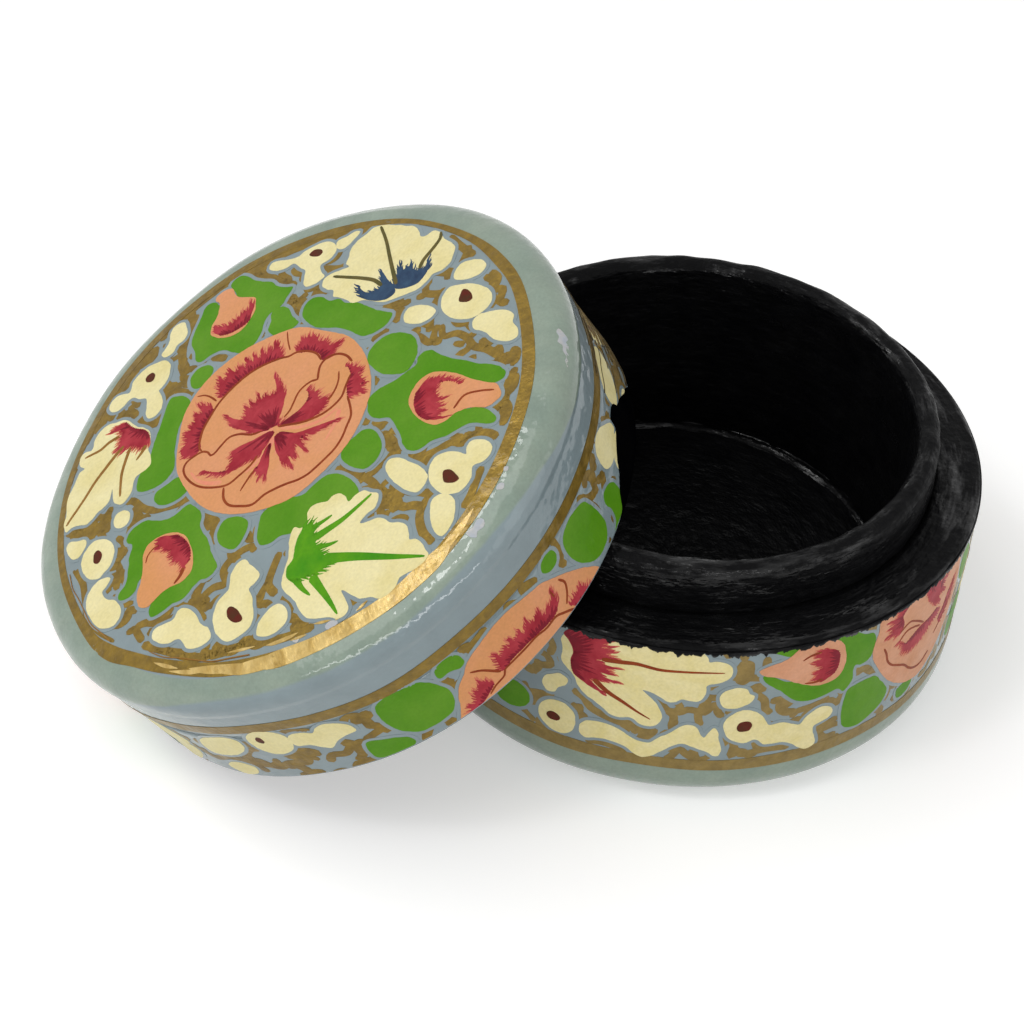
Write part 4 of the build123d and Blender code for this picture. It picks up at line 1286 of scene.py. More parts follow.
top_petals = [
    [(-11.5, 31), (-10, 31.8), (-7.3, 31.8), (-6.7, 32.5), (-5.7, 33), (-4.3, 33), (-3.3, 32),
     (-2, 31.3), (-1.3, 30.3), (-0.2, 28.6), (-0.3, 31.7), (0.5, 32.3), (1.3, 32.2),
     (2.3, 31.2), (3.8, 30.3), (5, 29.3), (5.5, 27.7), (5.8, 25.7), (6.5, 24), (6.75, 22.7),
     (6.2, 21.2), (5.3, 19.8), (4.8, 19), (4, 16.5), (3, 15.3), (2.2, 16), (1.3, 15.8),
     (0.8, 14.3), (0, 13.8), (-1, 14), (-2, 14.5), (-2.7, 14.2), (-3.5, 14.3), (-4.3, 15.3),
     (-4.5, 16.5), (-5.5, 16.2), (-6.7, 16.25), (-7.5, 17.2), (-8.25, 18), (-8, 19),
     (-7.2, 19.8), (-6, 20), (-5, 20.7), (-6, 21.2), (-7.2, 21.5), (-8, 22.3), (-8.5, 23.3),
     (-9.5, 24), (-10.2, 25), (-10.2, 26.3), (-10, 27.3), (-10.7, 27.8), (-11.2, 28.8),
     (-11.4, 30.2)],
    [(7, 26.5), (7.5, 28), (9, 28.6), (10.5, 28.3), (11.5, 27.4), (11.1, 26.1), (10, 25.2),
     (8.6, 24.7), (7.5, 25.1)],
    [(11, 23), (11.2, 24.3), (12, 25.5), (13.5, 25.9), (15.2, 25.7), (16.2, 24.3),
     (16.5, 22.5), (16.2, 20.7), (15, 19), (13.3, 18.2), (13, 17.5), (12.5, 16.2),
     (11.2, 15.2), (10.3, 15.3), (9.8, 16.5), (9, 19), (10, 19.8), (10.8, 20), (10.7, 21.5)],
    [(17.2, 23.5), (17.8, 23.9), (19.3, 23.8), (20.5, 23), (20.9, 21.7), (21.3, 20.8),
     (22.8, 20.5), (24, 19.5), (24.6, 18.2), (24, 17.2), (22.7, 17.3), (21.3, 17.5),
     (20.3, 16.6), (19.7, 16.7), (18.7, 17.8), (18.2, 19.3), (18, 20.7), (17.2, 22)],
    [(-13.8, 29.6), (-13.2, 28.7), (-13.1, 27), (-13.5, 25), (-14.2, 23.7), (-15.2, 23.5),
     (-16.2, 24.3), (-16.7, 25.7), (-16.3, 27.2), (-15.3, 28.8)],
    [(-19.5, 24), (-17.8, 24.9), (-16.2, 24.3), (-15.2, 23), (-14.7, 21.3), (-14.8, 20),
     (-15.3, 18.8), (-16.5, 17.9), (-18, 18.2), (-19.2, 19.2), (-20, 20.2), (-20.3, 19.3),
     (-21, 18.75), (-22.2, 19.3), (-23, 20.3), (-23.2, 21.5), (-22.7, 22.3), (-21.5, 22.7),
     (-20.2, 22.5)],
    [(-14.7, 20), (-13.8, 21), (-12.8, 21.3), (-11.8, 20.3), (-10.8, 18.3), (-10.2, 16.2),
     (-10.3, 14.7), (-11, 14.1), (-12.2, 14.7), (-13.2, 16.2), (-14.3, 18)],
    [(-31, 7.4), (-30, 7.3), (-28.8, 6.3), (-28.2, 5.3), (-27.8, 4), (-27.2, 3), (-26.5, 2),
     (-26.7, 0.8), (-27.7, 0.3), (-28.8, 0.7), (-30.3, 1.5), (-31.3, 2.5), (-31.7, 3.7),
     (-31.25, 4.7), (-31.5, 6.2)],
    [(-30.2, -1.5), (-29.7, -0.5), (-28.3, 0.2), (-26.8, 0.1), (-25.5, -0.7), (-24.5, -1.8),
     (-23.8, -3.5), (-23.8, -4.8), (-24.5, -6.3), (-25.7, -7), (-26.8, -6.5), (-28.3, -5.5),
     (-29.5, -4), (-30.2, -2.5)],
    [(-31, -6.9), (-30, -6.2), (-28.5, -6.4), (-27.2, -7.2), (-26.6, -8), (-27.2, -9.2),
     (-28.2, -9.75), (-29.5, -9.3), (-30.8, -8.2)],
    [(-23, -4.5), (-22.2, -4), (-20.8, -4), (-19.7, -4.7), (-18.8, -5.8), (-19, -7),
     (-19.8, -7.7), (-21, -7.3), (-22.2, -6.3), (-22.8, -5.3)],
    [(-27.5, -11.8), (-26.8, -11), (-25.5, -10.7), (-24.3, -11), (-23.5, -10.5), (-22, -10),
     (-20.3, -10.3), (-18.7, -10.8), (-17.2, -11.3), (-16, -12.5), (-14.8, -13.8),
     (-13.3, -14.5), (-12.7, -15.7), (-11.7, -17.2), (-11.2, -17.8), (-11.5, -18.8),
     (-10.7, -19.7), (-10.3, -20.8), (-10.8, -21.8), (-12, -21.9), (-13.3, -21.5),
     (-14.5, -21.2), (-14.3, -22), (-15, -23), (-15.5, -24), (-16.8, -24.8), (-18.3, -25),
     (-19.3, -25.3), (-20.7, -24.7), (-22, -23.5), (-23.3, -22.2), (-24.5, -20.8),
     (-24.7, -19.8), (-24.7, -18.7), (-25.2, -18.2), (-26.5, -18.2), (-27.2, -17.3),
     (-27.4, -15.7), (-28, -14.3), (-28.25, -13.3)],
    [(-13.7, -25.7), (-12.7, -24.8), (-11, -24.7), (-10.8, -23.3), (-11, -22.3), (-9.7, -22),
     (-8.2, -22.5), (-8, -23.2), (-8.5, -24.7), (-8.8, -25.5), (-8.2, -26.7), (-7.7, -28),
     (-6.3, -28.2), (-5, -28.8), (-4.2, -30), (-4.8, -30.7), (-6, -30.2), (-7.3, -29.3),
     (-8.7, -28.8), (-9.3, -29), (-11, -28.8), (-12.7, -28.3), (-13.7, -27)],
    [(-17.5, -26.2), (-16, -25.3), (-14.7, -25), (-13.8, -25.8), (-14.2, -27), (-15.5, -26.8),
     (-16.7, -26.8)],
    [(27.8, 10.3), (27.9, 11.5), (28.5, 12.25), (29.3, 12.6), (30.3, 12.3), (31.2, 11.5),
     (31.8, 10.3), (32.2, 8.8), (32.4, 7.7), (32.2, 6.2), (31.5, 5), (30.5, 4.25),
     (29.5, 4.1), (28.5, 4.5), (28.2, 4.9), (28.8, 5.6), (29.7, 6.2), (29.6, 7.2), (29.2, 8),
     (28.3, 8.8)],
    [(28.7, 3.3), (29.7, 3.7), (30.7, 3.2), (31.4, 2.2), (31.7, 1), (31.7, -0.3),
     (31.2, -1.5), (30.3, -2.3), (29.2, -2.7), (28.2, -2.3), (27.5, -1.7), (26.8, -0.5),
     (26.75, 0.8), (27.2, 2), (27.8, 2.8)],
    [(24.2, -2), (25.2, -2), (25.9, -2.7), (25.9, -3.8), (25.3, -4.6), (24.3, -4.6),
     (23.5, -3.7), (23.6, -2.7)],
    [(30.3, -3.3), (31, -2.3), (32, -1.7), (32.8, -2.2), (33.2, -3.3), (33.3, -4.5),
     (32.7, -5.2), (31.5, -4.5), (30.5, -4)],
    [(18.8, -10), (19, -9.3), (20, -8.9), (21.3, -8.8), (21.9, -8.2), (22.2, -7.3),
     (22.8, -6.5), (23.5, -6), (24.2, -5.8), (24.8, -6.2), (25.25, -7), (25.1, -8.5),
     (25, -9.3), (25.8, -7.7), (26.7, -7.2), (27.8, -7), (28.8, -6.5), (29.7, -6.3),
     (30.5, -6.75), (31.7, -7.3), (32.8, -7.3), (33, -8.2), (32.8, -9.2), (32.3, -10),
     (32.1, -11), (31.8, -12.2), (31.3, -13.2), (30.5, -14), (29.7, -15), (29, -15.8),
     (28.2, -15.9), (28.7, -16.7), (28.8, -17.7), (28.3, -18.6), (27.5, -18.75),
     (26.7, -18.3), (26.2, -18.75), (26, -19.5), (25.3, -20.3), (24.3, -20.8),
     (23.3, -20.8), (22.3, -20.3), (21.3, -20), (20.5, -19.2), (20, -18.2), (19.5, -17.2),
     (18.7, -16.3), (18.1, -15.3), (18, -14.3), (18.3, -13.2), (18.8, -12.2), (18.75, -11)],
    [(15.1, -19.3), (15.2, -18.5), (15.7, -17.5), (16.7, -17), (17.7, -17.3), (17.9, -18.3),
     (17.5, -19.7), (17.3, -21), (18.3, -21.8), (19, -22.7), (19.7, -22.8), (20.5, -22.4),
     (21.7, -22.2), (22.5, -22.7), (22.8, -23.7), (22.3, -24.5), (21.3, -24.8),
     (20.3, -24.5), (19.5, -24), (19, -24.5), (18.5, -25.5), (17.3, -26.2), (16.2, -26.5),
     (14.8, -26.3), (13.5, -25.8), (12.8, -24.7), (13, -23.3), (13.7, -22), (14.7, -21.25),
     (15.3, -21), (15.2, -20.3)],
    [(9.2, -29.3), (9.3, -28), (10, -27.25), (11.2, -27), (11.8, -26.3), (12.7, -26.1),
     (13.5, -26.5), (13.6, -27.2), (12.8, -27.8), (12, -28.8), (11.7, -29.8), (11, -30.7),
     (10, -30.8), (9.25, -30.3)]]
top_leaves = [
    [(-25, 17.5), (-24.7, 18), (-23.8, 17.8), (-23, 17), (-21.7, 16), (-20, 15.8),
     (-18.7, 15.8), (-16.7, 15.2), (-14.8, 15.3), (-13.5, 14.3), (-13.2, 12.8),
     (-13.3, 11.7), (-13.2, 10), (-12.7, 7.7), (-11.3, 6.7), (-10.5, 5.3), (-10.7, 3.8),
     (-11.3, 2.7), (-12.5, 2.3), (-15, 2.5), (-16.7, 2.3), (-18.3, 2), (-18.7, 1.2),
     (-19.7, 0.8), (-20.7, 1.3), (-21.2, 2.3), (-21.8, 3.3), (-22.8, 4.7), (-24, 6),
     (-25.3, 7.7), (-26.7, 9), (-27.8, 10.5), (-28.1, 11.7), (-27.7, 12.3), (-26.5, 12.3),
     (-25, 11.5), (-21, 11.5), (-21.7, 13.3), (-23.3, 14.3), (-24.3, 15.5)],
    [(-19, 0), (-18.2, 1.3), (-16.7, 2.2), (-15.2, 1.5), (-13.8, 0.2), (-13, -1.5),
     (-12.6, -3.2), (-13.3, -4.7), (-15, -5.5), (-16.7, -5.3), (-18.2, -4.2),
     (-19.2, -2.7), (-19.25, -1.2)],
    [(-17.7, -8.5), (-16.8, -7.5), (-15.2, -7.2), (-13.3, -7.7), (-12.5, -8.7),
     (-11.7, -10.2), (-10.5, -11.8), (-8.8, -13.3), (-7.5, -14.7), (-6.8, -16.3),
     (-6.5, -18), (-7.2, -19.3), (-8.3, -19.8), (-9.7, -19), (-10.5, -17.5),
     (-11.8, -16.7), (-12.5, -15.3), (-14, -14), (-14.8, -12.7), (-16, -10.7), (-17, -9.5)],
    [(0, -19), (1, -18.3), (2.2, -17.8), (3.2, -18.5), (4, -19.3), (5.2, -20.8),
     (6.8, -21.3), (8.7, -21.3), (9.2, -22), (9, -23.7), (9.2, -25.3), (8.7, -26.7),
     (7.8, -28), (6.8, -29.3), (6, -30.5), (5.2, -30.8), (4.3, -30.3), (3.8, -29.2),
     (1.3, -29), (1.5, -31.7), (0, -32.2), (-1, -31.3), (-1.8, -29.7), (-2.8, -28.5),
     (-4, -27.3), (-4.5, -26), (-5.5, -24.8), (-6.5, -24), (-5.2, -22.8), (-4.3, -22),
     (-2.3, -21.8), (-1.2, -20.8), (-0.7, -19.8)],
    [(-6, 16.3), (-6, 14.5), (-5.3, 12.7), (-4.2, 11.2), (-2.8, 10.5), (-0.8, 10.8),
     (0.5, 11.2), (1.7, 10.8), (3, 9.8), (4.7, 9.7), (6.5, 10.2), (7.4, 11.7), (8, 13.4),
     (7.8, 14.7), (6.7, 15.3), (5, 15.2), (3.8, 15.8), (2, 16.5), (0, 16), (-3, 16),
     (-4.5, 16.6)],
    [(-8, 13.2), (-9.7, 12.7), (-10.6, 11.5), (-10.8, 9.8), (-10.3, 8), (-9.2, 7.1),
     (-7.8, 7.3), (-6.2, 7.8), (-5.4, 8.9), (-5.7, 10.6), (-6.7, 12.2)],
    [(8.5, 10), (9.5, 11.7), (11.2, 12.7), (12.7, 11), (12.9, 9), (11.5, 7.4), (9.5, 8.2)],
    [(14.5, -2), (15.5, -0.9), (17.2, -0.7), (18.7, -1.2), (19.5, -2), (19.8, -3),
     (19.3, -4), (17.7, -4.2), (15.7, -4.2)],
    [(16.2, -6), (18, -5), (20.2, -5.2), (21.7, -6.2), (21.2, -8.2), (19.2, -10.2),
     (17.5, -13), (16, -15.3), (15, -17), (14, -18.2), (12.7, -17.7), (11.7, -16.5),
     (11.5, -15.2), (12, -14), (13.5, -13), (15.2, -9.5)],
    [(-5.7, -17.2), (-4.7, -16.8), (-3.2, -16.7), (-2.3, -17.2), (-1.7, -18.2),
     (-1.5, -19.2), (-2.2, -20.3), (-2.7, -21.8), (-4.2, -21.8), (-5, -20.7), (-5.2, -19),
     (-5.5, -18)],
    [(7.3, -18.2), (8.3, -17.3), (9.5, -16.8), (10.5, -17.3), (10.8, -18.5),
     (10.3, -19.8), (9, -20.3), (7.7, -19.8), (7.2, -19)],
    [(14, 13.7), (15, 14.4), (16, 14.4), (16.5, 14.1), (17.5, 14.4), (18.5, 14.9),
     (19.3, 15.25), (20.3, 15.2), (21, 15), (22, 15.2), (23.2, 15.25), (24.1, 15),
     (24.25, 14.2), (23.9, 13.3), (23, 12.2), (22, 10), (23, 8.4), (24.5, 8.2),
     (25.2, 9.3), (26.2, 9.75), (27.3, 9.6), (27.8, 9), (27.6, 8.2), (26.7, 7.7),
     (26, 6.8), (25.7, 5.7), (25.3, 4.7), (25.1, 3.7), (24.5, 2.7), (24.2, 1.8),
     (24.75, 1.2), (24.8, 0.5), (24, -0.4), (22.7, -0.7), (21.5, -0.5), (20.8, 0),
     (20, 0.7), (19, 1.3), (17.8, 1.6), (17, 1.5), (15.8, 1.25), (15.2, 1.4), (14.7, 2.3),
     (14.1, 3.7), (14.25, 4.7), (14.7, 5.7), (14.6, 7), (14.25, 8.3), (14.2, 9.7),
     (14.2, 11.3), (14, 12.7)]]
top_gold = [
    (0.9, 0.8, [(-29.5, 11.2), (-30.3, 9.5), (-29.7, 8.7)]),
    (0.9, 0.7, [(-29.3, 10.7), (-28, 8.3), (-27, 6.3), (-25.7, 4.7), (-25.3, 2.7), (-24.3, 1),
                (-22.7, 0.2), (-23, -1.8)]),
    (0.8, 0.6, [(-24.7, 3.5), (-23.5, 2.3)]),
    (0.8, 0.7, [(-22.2, 0.3), (-20.7, -0.2), (-20, -1.8), (-19, -3.5)]),
    (0.9, 0.8, [(-21.9, -2.8), (-21, -2)]),
    (0.9, 0.8, [(-31.7, 1.2), (-30.8, 0.2), (-31.7, -1.5), (-30.8, -2.3), (-31.7, -3.7),
                (-31.2, -5.5)]),
    (0.9, 0.8, [(-24.7, -6.7), (-23.3, -7.7), (-22.3, -8.8)]),
    (0.9, 0.8, [(-12.5, 29.7), (-11.8, 27.7), (-12, 25), (-12.8, 23.7), (-14.2, 22.8)]),
    (0.9, 0.8, [(-12.8, 23.7), (-11.7, 22.7), (-10.8, 22.3), (-9.7, 20.7), (-8.5, 19),
                (-8.3, 16.7), (-7.7, 15), (-5.7, 12), (-4.3, 10.3)]),
    (0.9, 0.8, [(-24.2, 20.5), (-23.3, 19), (-21.7, 18), (-20, 18.2), (-19, 17.2),
                (-16.7, 17), (-14.3, 16.5)]),
    (0.9, 0.8, [(-17.3, 27.5), (-18.7, 26.3), (-20, 24.7), (-21.2, 23.3)]),
    (0.9, 0.8, [(-25.2, 19.2), (-26.7, 17.3), (-26.7, 15.3), (-28.3, 14.5), (-29.2, 12.8)]),
    (0.9, 0.8, [(-12, 14.5), (-12.2, 11.7), (-11.3, 9.3)]),
    (0.9, 0.8, [(9, 30), (11, 28.8), (13.2, 27), (14.3, 27.5), (15.5, 27.2), (16.7, 25.2),
                (17.5, 26), (19.7, 25), (20.7, 23.7), (22.3, 22.3), (23.8, 20.8), (25.2, 19)]),
    (0.9, 0.8, [(16.7, 19.3), (17, 17.2), (15.3, 16.5), (13.5, 17), (13.3, 14.8),
                (11.5, 13.8), (9, 14), (8.8, 15)]),
    (0.8, 0.6, [(18.3, 17.3), (17.8, 18.8), (17.3, 20.5)]),
    (0.9, 0.8, [(21.7, 16.2), (23.5, 16.3), (25, 15.3), (26.3, 15.2), (26, 17.8)]),
    (0.9, 0.7, [(26.3, 15.2), (27.8, 15)]), (0.9, 0.7, [(25.7, 12.7), (26.8, 11.7), (27.5, 13)]),
    (0.9, 0.8, [(7.8, 23.3), (8.3, 21.2), (7.3, 19.5), (5.7, 17.5)]),
    (0.9, 0.8, [(13.2, 9.3), (13.5, 8.5), (12.5, 6.7), (13.7, 5.3), (14.2, 4.3)]),
    (0.8, 0.7, [(27.7, 7.3), (27.5, 6), (26.7, 4.7), (26.8, 3), (25.8, 2.3), (25.3, 0.7),
                (26, -1)]),
    (0.8, 0.7, [(28.8, 6.3), (27.7, 5.3), (26.7, 4.5)]),
    (0.8, 0.8, [(15, 0.5), (17, 0), (18.7, -0.7), (20, -1.3), (21, -2.2), (21.7, -3.2),
                (22.7, -5.2), (23.7, -5.7)]),
    (0.8, 0.7, [(21.7, -2), (22.7, -1.7), (24.3, -1.3)]),
    (1, 0.9, [(27.3, -2.8), (27, -4.3), (26.2, -6.2)]),
    (0.8, 0.7, [(27, -4.8), (28.3, -4.7), (28.8, -3.5)]),
    (1, 1.1, [(28.8, -3.5), (29.8, -4.5), (31, -5.5), (32.3, -6.3)]),
    (0.4, 0.4, [(29.7, 15), (31.7, 11.7), (32.7, 8.7), (32.8, 7)]),
    (0.4, 0.4, [(32.5, 6), (32.2, 3.7), (32.3, 1.7), (33, -0.2)]),
    (0.9, 0.8, [(10.75, -16), (11.7, -17.5), (12.7, -18.8), (13, -20.2), (14.3, -20.7)]),
    (1, 0.9, [(10.8, -21.5), (11, -23.3), (10.8, -24.8), (10, -26.7), (8.2, -28.5), (8, -31)]),
    (1, 0.8, [(16.2, -16.7), (17, -15.7), (18, -16.7), (18.7, -17.5)]),
    (1, 0.8, [(19.3, -19), (19.7, -20.3), (21, -21), (21.3, -22)]),
    (1, 0.9, [(14.2, -28.3), (15.7, -27.5), (17.3, -27.7), (19, -26), (20.7, -25.5),
              (22.8, -25.3), (23.5, -23.7), (24, -22), (25.7, -21)]),
    (0.9, 0.8, [(-28, -9.5), (-29, -10.6), (-30, -12)]),
    (0.8, 0.8, [(-20.5, -8.8), (-18, -9.5), (-17, -10.8)]),
    (0.9, 0.8, [(-16.5, -6), (-15.2, -6.4), (-14, -6)]),
    (0.8, 0.8, [(-11, -20), (-9.6, -21.2), (-8, -22)]),
    (0.8, 0.8, [(-8, -19), (-6.5, -21), (-5, -20), (-6, -22.5)]),
    (0.8, 0.8, [(-7, -24), (-5.5, -26), (-4, -28.5), (-2.5, -30.5), (-2, -32)]),
    (0.8, 0.8, [(-0.8, -19), (-1, -20.5)]), (0.9, 0.8, [(5, -19), (7, -20.8)])]
top_throat = [[(0.3, 23.7), (1.7, 24), (4.2, 23.3), (5.5, 22.7), (5.8, 21.8), (5.5, 20.7),
               (4.3, 19.7), (3.7, 18.3), (3, 17.2), (1.8, 16.2), (0.7, 16.3), (0.7, 17.5),
               (1, 18.7), (1, 20), (0.7, 21.2)]]
top_throat_strokes = [
    (1.6, 0.3, [(0.8, 22.5), (-3, 25), (-7.5, 28.4), (-11, 30.9)]),
    (1.3, 0.3, [(2.8, 24), (2.2, 26.5), (1.6, 29.2), (1.2, 31.5)]),
    (1, 0.3, [(4.8, 23), (4.4, 24.8), (3.7, 26.5)]),
    (0.9, 0.25, [(1, 20.3), (-0.4, 21), (-1.7, 21.3)]),
    (1.2, 0.3, [(1, 18.8), (-1, 18.7), (-3, 18.6), (-5.3, 18.1), (-7.5, 17.5)]),
    (0.8, 0.3, [(1, 17), (-0.5, 17.1), (-2, 17)])]
top_blue = [
    [(-24.5, -14), (-24.3, -12.7), (-23.5, -11.7), (-22.2, -11), (-20.7, -11.3),
     (-19.3, -12.2), (-19, -13), (-19.8, -14.3), (-21, -16), (-21, -14.7), (-22, -14.8),
     (-22.2, -14), (-23, -12.8), (-23.8, -13)],
    [(-19, -11.8), (-17.7, -11.5), (-16.3, -12.3), (-15.2, -13.5), (-14.6, -14.7),
     (-14.6, -16), (-14.8, -16.8), (-15.2, -15.3), (-16, -14.3), (-16.8, -14),
     (-17.7, -14.7), (-18.25, -16.8), (-18.7, -14.7), (-19, -13.3)]]
top_veins = [
    (0.6, 0.4, [(-23, -13.2), (-23.8, -14.2), (-26, -15.5), (-27, -16.3), (-27.3, -17.2)]),
    (0.6, 0.4, [(-19.5, -13), (-19.7, -15.7), (-20, -18.7), (-20.3, -21.7), (-20.3, -24.7)]),
    (0.6, 0.4, [(-17.7, -14.3), (-17, -16), (-15.5, -17.8), (-13.8, -19.5), (-12.1, -21.2)])]
top_tan_veins = [
    (0.5, 0.3, [(21.2, -14.3), (22.2, -12.7), (23.2, -10.8), (23.8, -8.8), (24.2, -7.2)]),
    (0.55, 0.3, [(22, -15.3), (23.3, -14.7), (25, -13.7), (27.2, -12.3), (29, -10.8),
                 (30.8, -9.5), (32.6, -8.3)]),
    (0.5, 0.3, [(22.3, -17.5), (24, -17.6), (25.3, -17.3), (26.7, -17.5), (27.8, -17.7)]),
    (0.7, 0.2, [(19, -13), (19.8, -12.2), (20.8, -11.5)])]
top_dots = [
    [(12.75, 23.9), (13.5, 23.8), (14.3, 22.8), (14.3, 21.2), (13.8, 20.9), (13, 22)],
    [(-18.1, 23.1), (-17.5, 23.2), (-16.3, 22.2), (-16.5, 21), (-16.8, 20.6), (-17.5, 21),
     (-18, 22.2)],
    [(-27.8, -2.9), (-27.2, -2.8), (-26.1, -3.8), (-26.7, -4.8), (-27.2, -5.25),
     (-27.8, -4.5)],
    [(-11.8, -26.7), (-11.2, -26.5), (-10.3, -27.2), (-10, -27.8), (-10.7, -28.1),
     (-11.7, -27.5)],
    [(29.3, 1.3), (29.9, 0.8), (29.9, 0.2), (29.5, -0.7), (29, -0.8), (28.6, -0.2),
     (28.7, 0.7)],
    [(15.25, -24.2), (15.5, -23.6), (16.2, -23.5), (16.7, -24), (16.6, -24.7),
     (16, -24.95), (15.4, -24.8)]]
# Gold laid just inside the ring, as a width and its run of turns and distances out
top_edge_gold = [
    (1.3, [(50, 31.2), (56, 31.6), (64, 31.5), (74, 31.8), (84, 31.9)]),
    (1.5, [(83, 30.6), (86, 31.8), (92, 32.7), (100, 32.9), (106, 32.9), (114, 33.1)]),
    (1.2, [(104, 30.2), (105, 31.4), (104, 32.6)]), (1.3, [(116, 31.6), (118, 32.6), (128, 33.2)]),
    (1.1, [(127, 33), (134, 33.6), (144, 34.2)]), (1.2, [(136, 31), (136, 32.2), (137, 33.4)]),
    (0.9, [(148, 33.8), (151, 34.4), (160, 34.5)]), (0.9, [(168, 30.4), (169, 32), (168, 33.6)]),
    (0.8, [(180, 32.6), (185, 32.2), (190, 32.8), (196, 33.6)]),
    (0.9, [(215, 31.8), (223, 31.6), (232, 32), (238, 31.2)]),
    (1.1, [(235, 31.6), (241, 31), (246, 30.6), (254, 31.2), (262, 31.4)]),
    (1.2, [(256, 30.4), (261, 30.2)]), (0.9, [(18, 31.6), (23, 31.6), (29, 32.2)]),
    (1, [(-36, 31.8), (-31, 31), (-25, 31.1), (-22, 31.8)])]
# Fine lines round the edge: the turns they start and end at, and their distance out
top_edge_lines = [(180, 206, 33.6), (218, 246, 32.3)]
top_gold += [(width, width * 0.8, [round_the_top(*place) for place in run])
             for width, run in top_edge_gold]
throat_paint = varnished("green_throat_paint", (56, 134, 0), (92, 154, 6),
                         streak=260.0, leaning=True)
navy_paint = varnished("navy_paint", (32, 52, 80), (56, 82, 108), streak=420.0,
                       leaning=True)
vein_paint = varnished("olive_vein_paint", (74, 72, 34), (100, 88, 44),
                       streak=500.0, leaning=True)
pink_paint = varnished("pink_stroke_paint", (222, 136, 110), (224, 148, 114),
                       streak=400.0, leaning=True)
tan_paint = varnished("tan_vein_paint", (134, 92, 34), (150, 110, 52),
                      streak=500.0, leaning=True)
top_crimson_roots = [(1.8, -1.2), (2.6, -0.3), (1, -1.8), (1.5, -1.8), (1.8, -2), (-7.5, -1.5),
                     (-5, -8.5), (2.5, -9), (9, -7), (-13, 9), (2.5, -20), (13.5, 7.5),
                     (17, -16.5)]
top_feathers = fringe(top_crimson, top_crimson_roots, top_rose + top_petals, 0.85)
top_shading = shaded(top_crimson, top_crimson_roots)
top_tan_veins += [
    (0.1, 0.16, [round_the_top(first + (last - first) * i / 6, out + 0.15 * sin(i * 2))
                 for i in range(7)]) for first, last, out in top_edge_lines]
throat_feathers = feathers(top_throat[0], (6.5, 20), 1.3)
blue_feathers = [hair for shape in top_blue for hair in feathers(shape, (-19.5, -8.5), 1.1)]
painted_over("lid", on_lid_top, [
    ("lid_top_scrolls", 0.03, gold_paint, (),
     heavier(top_gold) + wandering_scrolls((-33, -33), (33, 33), 31.6)),
    ("lid_top_margins", 0.04, lid_ground, (), margins(top_leaves + top_petals + top_rose)),
    ("lid_top_leaves", 0.06, leaf_paint, top_leaves, ()),
    ("lid_top_petals", 0.075, cream_paint, top_petals, ()),
    ("lid_top_roses", 0.09, salmon_paint, top_rose, ()),
    ("lid_top_blush", 0.096, blush_paint, (),
     fringe(top_crimson, top_crimson_roots, top_rose + top_petals, 1.3, 0.5)),
    ("lid_top_pink_strokes", 0.1, pink_paint, (), top_pink_strokes),
    ("lid_top_crimson", 0.108, crimson_paint, top_crimson, top_feathers),
    ("lid_top_crimson_shading", 0.115, dark_crimson_paint, (), top_shading),
    ("lid_top_throat", 0.105, throat_paint, top_throat, top_throat_strokes + throat_feathers),
    ("lid_top_blue", 0.105, navy_paint, top_blue, blue_feathers),
    ("lid_top_lines", 0.125, line_paint, (), top_lines),
    ("lid_top_veins", 0.12, vein_paint, (), top_veins),
    ("lid_top_tan_veins", 0.12, tan_paint, (), top_tan_veins),
    ("lid_top_dots", 0.12, dot_paint, top_dots, ())], cuts=(3.0, 3.0))


# ---- Studio ------------------------------------------------------------------------
# A plain white sweep under soft lamps, seen from the front and above as the box was
# photographed. Distances here are metres.
def plain_rays(tree):
    """One for a ray that shows the plain white room: seen, mirrored or through glass."""
    rays = joined(tree, "ShaderNodeLightPath").outputs
    seen = maths(tree, "MAXIMUM", rays["Is Camera Ray"], rays["Is Glossy Ray"])
    return maths(tree, "MAXIMUM", seen, rays["Is Transmission Ray"])


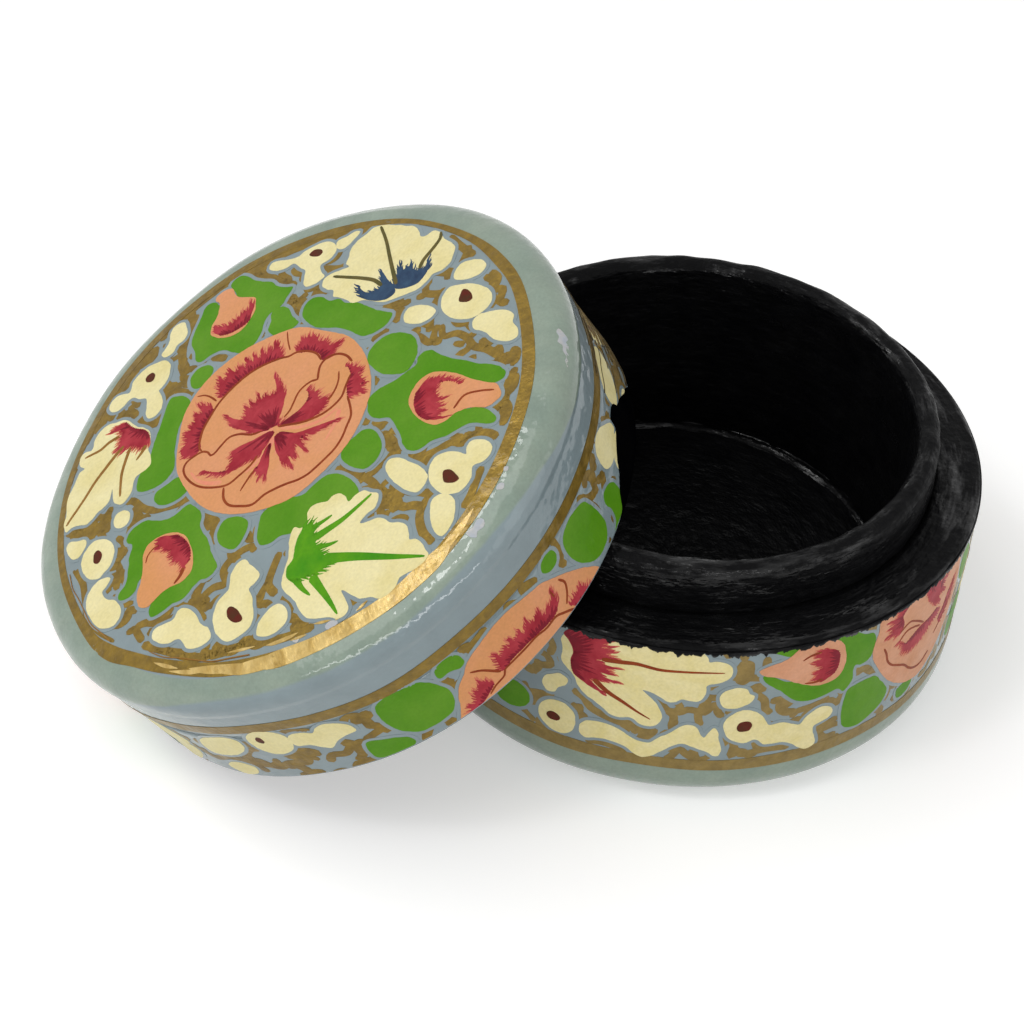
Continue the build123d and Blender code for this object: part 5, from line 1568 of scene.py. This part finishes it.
def studio_floor():
    """A large pale floor, white to the camera, that keeps the box's soft shadow."""
    sweep = bmesh.new()
    bmesh.ops.create_grid(sweep, x_segments=1, y_segments=1, size=2.5)
    mesh = bpy.data.meshes.new("studio_floor")
    sweep.to_mesh(mesh)
    sweep.free()
    ground = bpy.data.objects.new("studio_floor", mesh)
    bpy.context.scene.collection.objects.link(ground)
    ground.location.z = -0.0002
    paper = bpy.data.materials.new("white_paper")
    paper.use_nodes = True
    tree = paper.node_tree
    shader = tree.nodes["Principled BSDF"]
    shader.inputs["Base Color"].default_value = colour(235, 235, 235)
    shader.inputs["Roughness"].default_value = 0.9
    shader.inputs["Specular IOR Level"].default_value = 0.1
    away = vector_maths(tree, "LENGTH", joined(tree, "ShaderNodeTexCoord").outputs["Object"])
    glow = maths(tree, "MULTIPLY", plain_rays(tree), spread(tree, away, 0.35, 1.2, 0.35, 1.0))
    tree.links.new(glow, shader.inputs["Emission Strength"])
    shader.inputs["Emission Color"].default_value = (1, 1, 1, 1)
    mesh.materials.append(paper)


def soft_lamp(name, spot, width, height, power):
    """A diffused lamp of this width and height at a spot, turned towards the box."""
    light = bpy.data.lights.new(name, "AREA")
    light.shape = "RECTANGLE"
    light.size = width
    light.size_y = height
    light.energy = power
    lamp = bpy.data.objects.new(name, light)
    bpy.context.scene.collection.objects.link(lamp)
    lamp.location = spot
    lamp.rotation_euler = (box_middle - Vector(spot)).to_track_quat("-Z", "Y").to_euler()


box_middle = Vector((0, 0, 0.02))
studio_floor()
soft_lamp("overhead_lamp", (-0.6, 0.05, 0.9), 0.9, 0.9, 4.6)
soft_lamp("key_lamp", (-0.56, -0.12, 0.93), 0.18, 0.18, 1.1)
soft_lamp("front_strip_lamp", (-0.23, -0.69, 0.32), 1.44, 0.06, 2.0)
soft_lamp("right_fill_lamp", (0.9, -0.7, 0.5), 0.8, 0.8, 2.2)
soft_lamp("window_lamp", (-0.65, 0.5, 0.8), 0.2, 0.2, 1.0)

scene = bpy.context.scene
world = bpy.data.worlds.new("studio")
world.use_nodes = True
scene.world = world
sky = world.node_tree
room = sky.nodes["Background"]
room_light = 0.38
sky.links.new(spread(sky, plain_rays(sky), 0.0, 1.0, room_light, 1.0), room.inputs["Strength"])
room.inputs["Color"].default_value = (1, 1, 1, 1)

camera_spot = Vector((-0.107738, -0.252368, 0.259097))
camera_aim = Vector((0, 0, 0.0133))
# Then turned about its own axes, so that the box stands in the picture as photographed
camera_turns = ((0.06001, "Y"), (-0.00456, "X"), (0.14069, "Z"))
lens = bpy.data.cameras.new("camera")
lens.lens = 96.976
lens.sensor_width = 36.0
camera = bpy.data.objects.new("camera", lens)
scene.collection.objects.link(camera)
facing = (camera_aim - camera_spot).to_track_quat("-Z", "Y").to_matrix().to_4x4()
held = Matrix.Translation(camera_spot) @ facing
for angle, axis in camera_turns:
    held = held @ Matrix.Rotation(angle, 4, axis)
camera.matrix_world = held
scene.camera = camera
scene.view_settings.view_transform = "Standard"
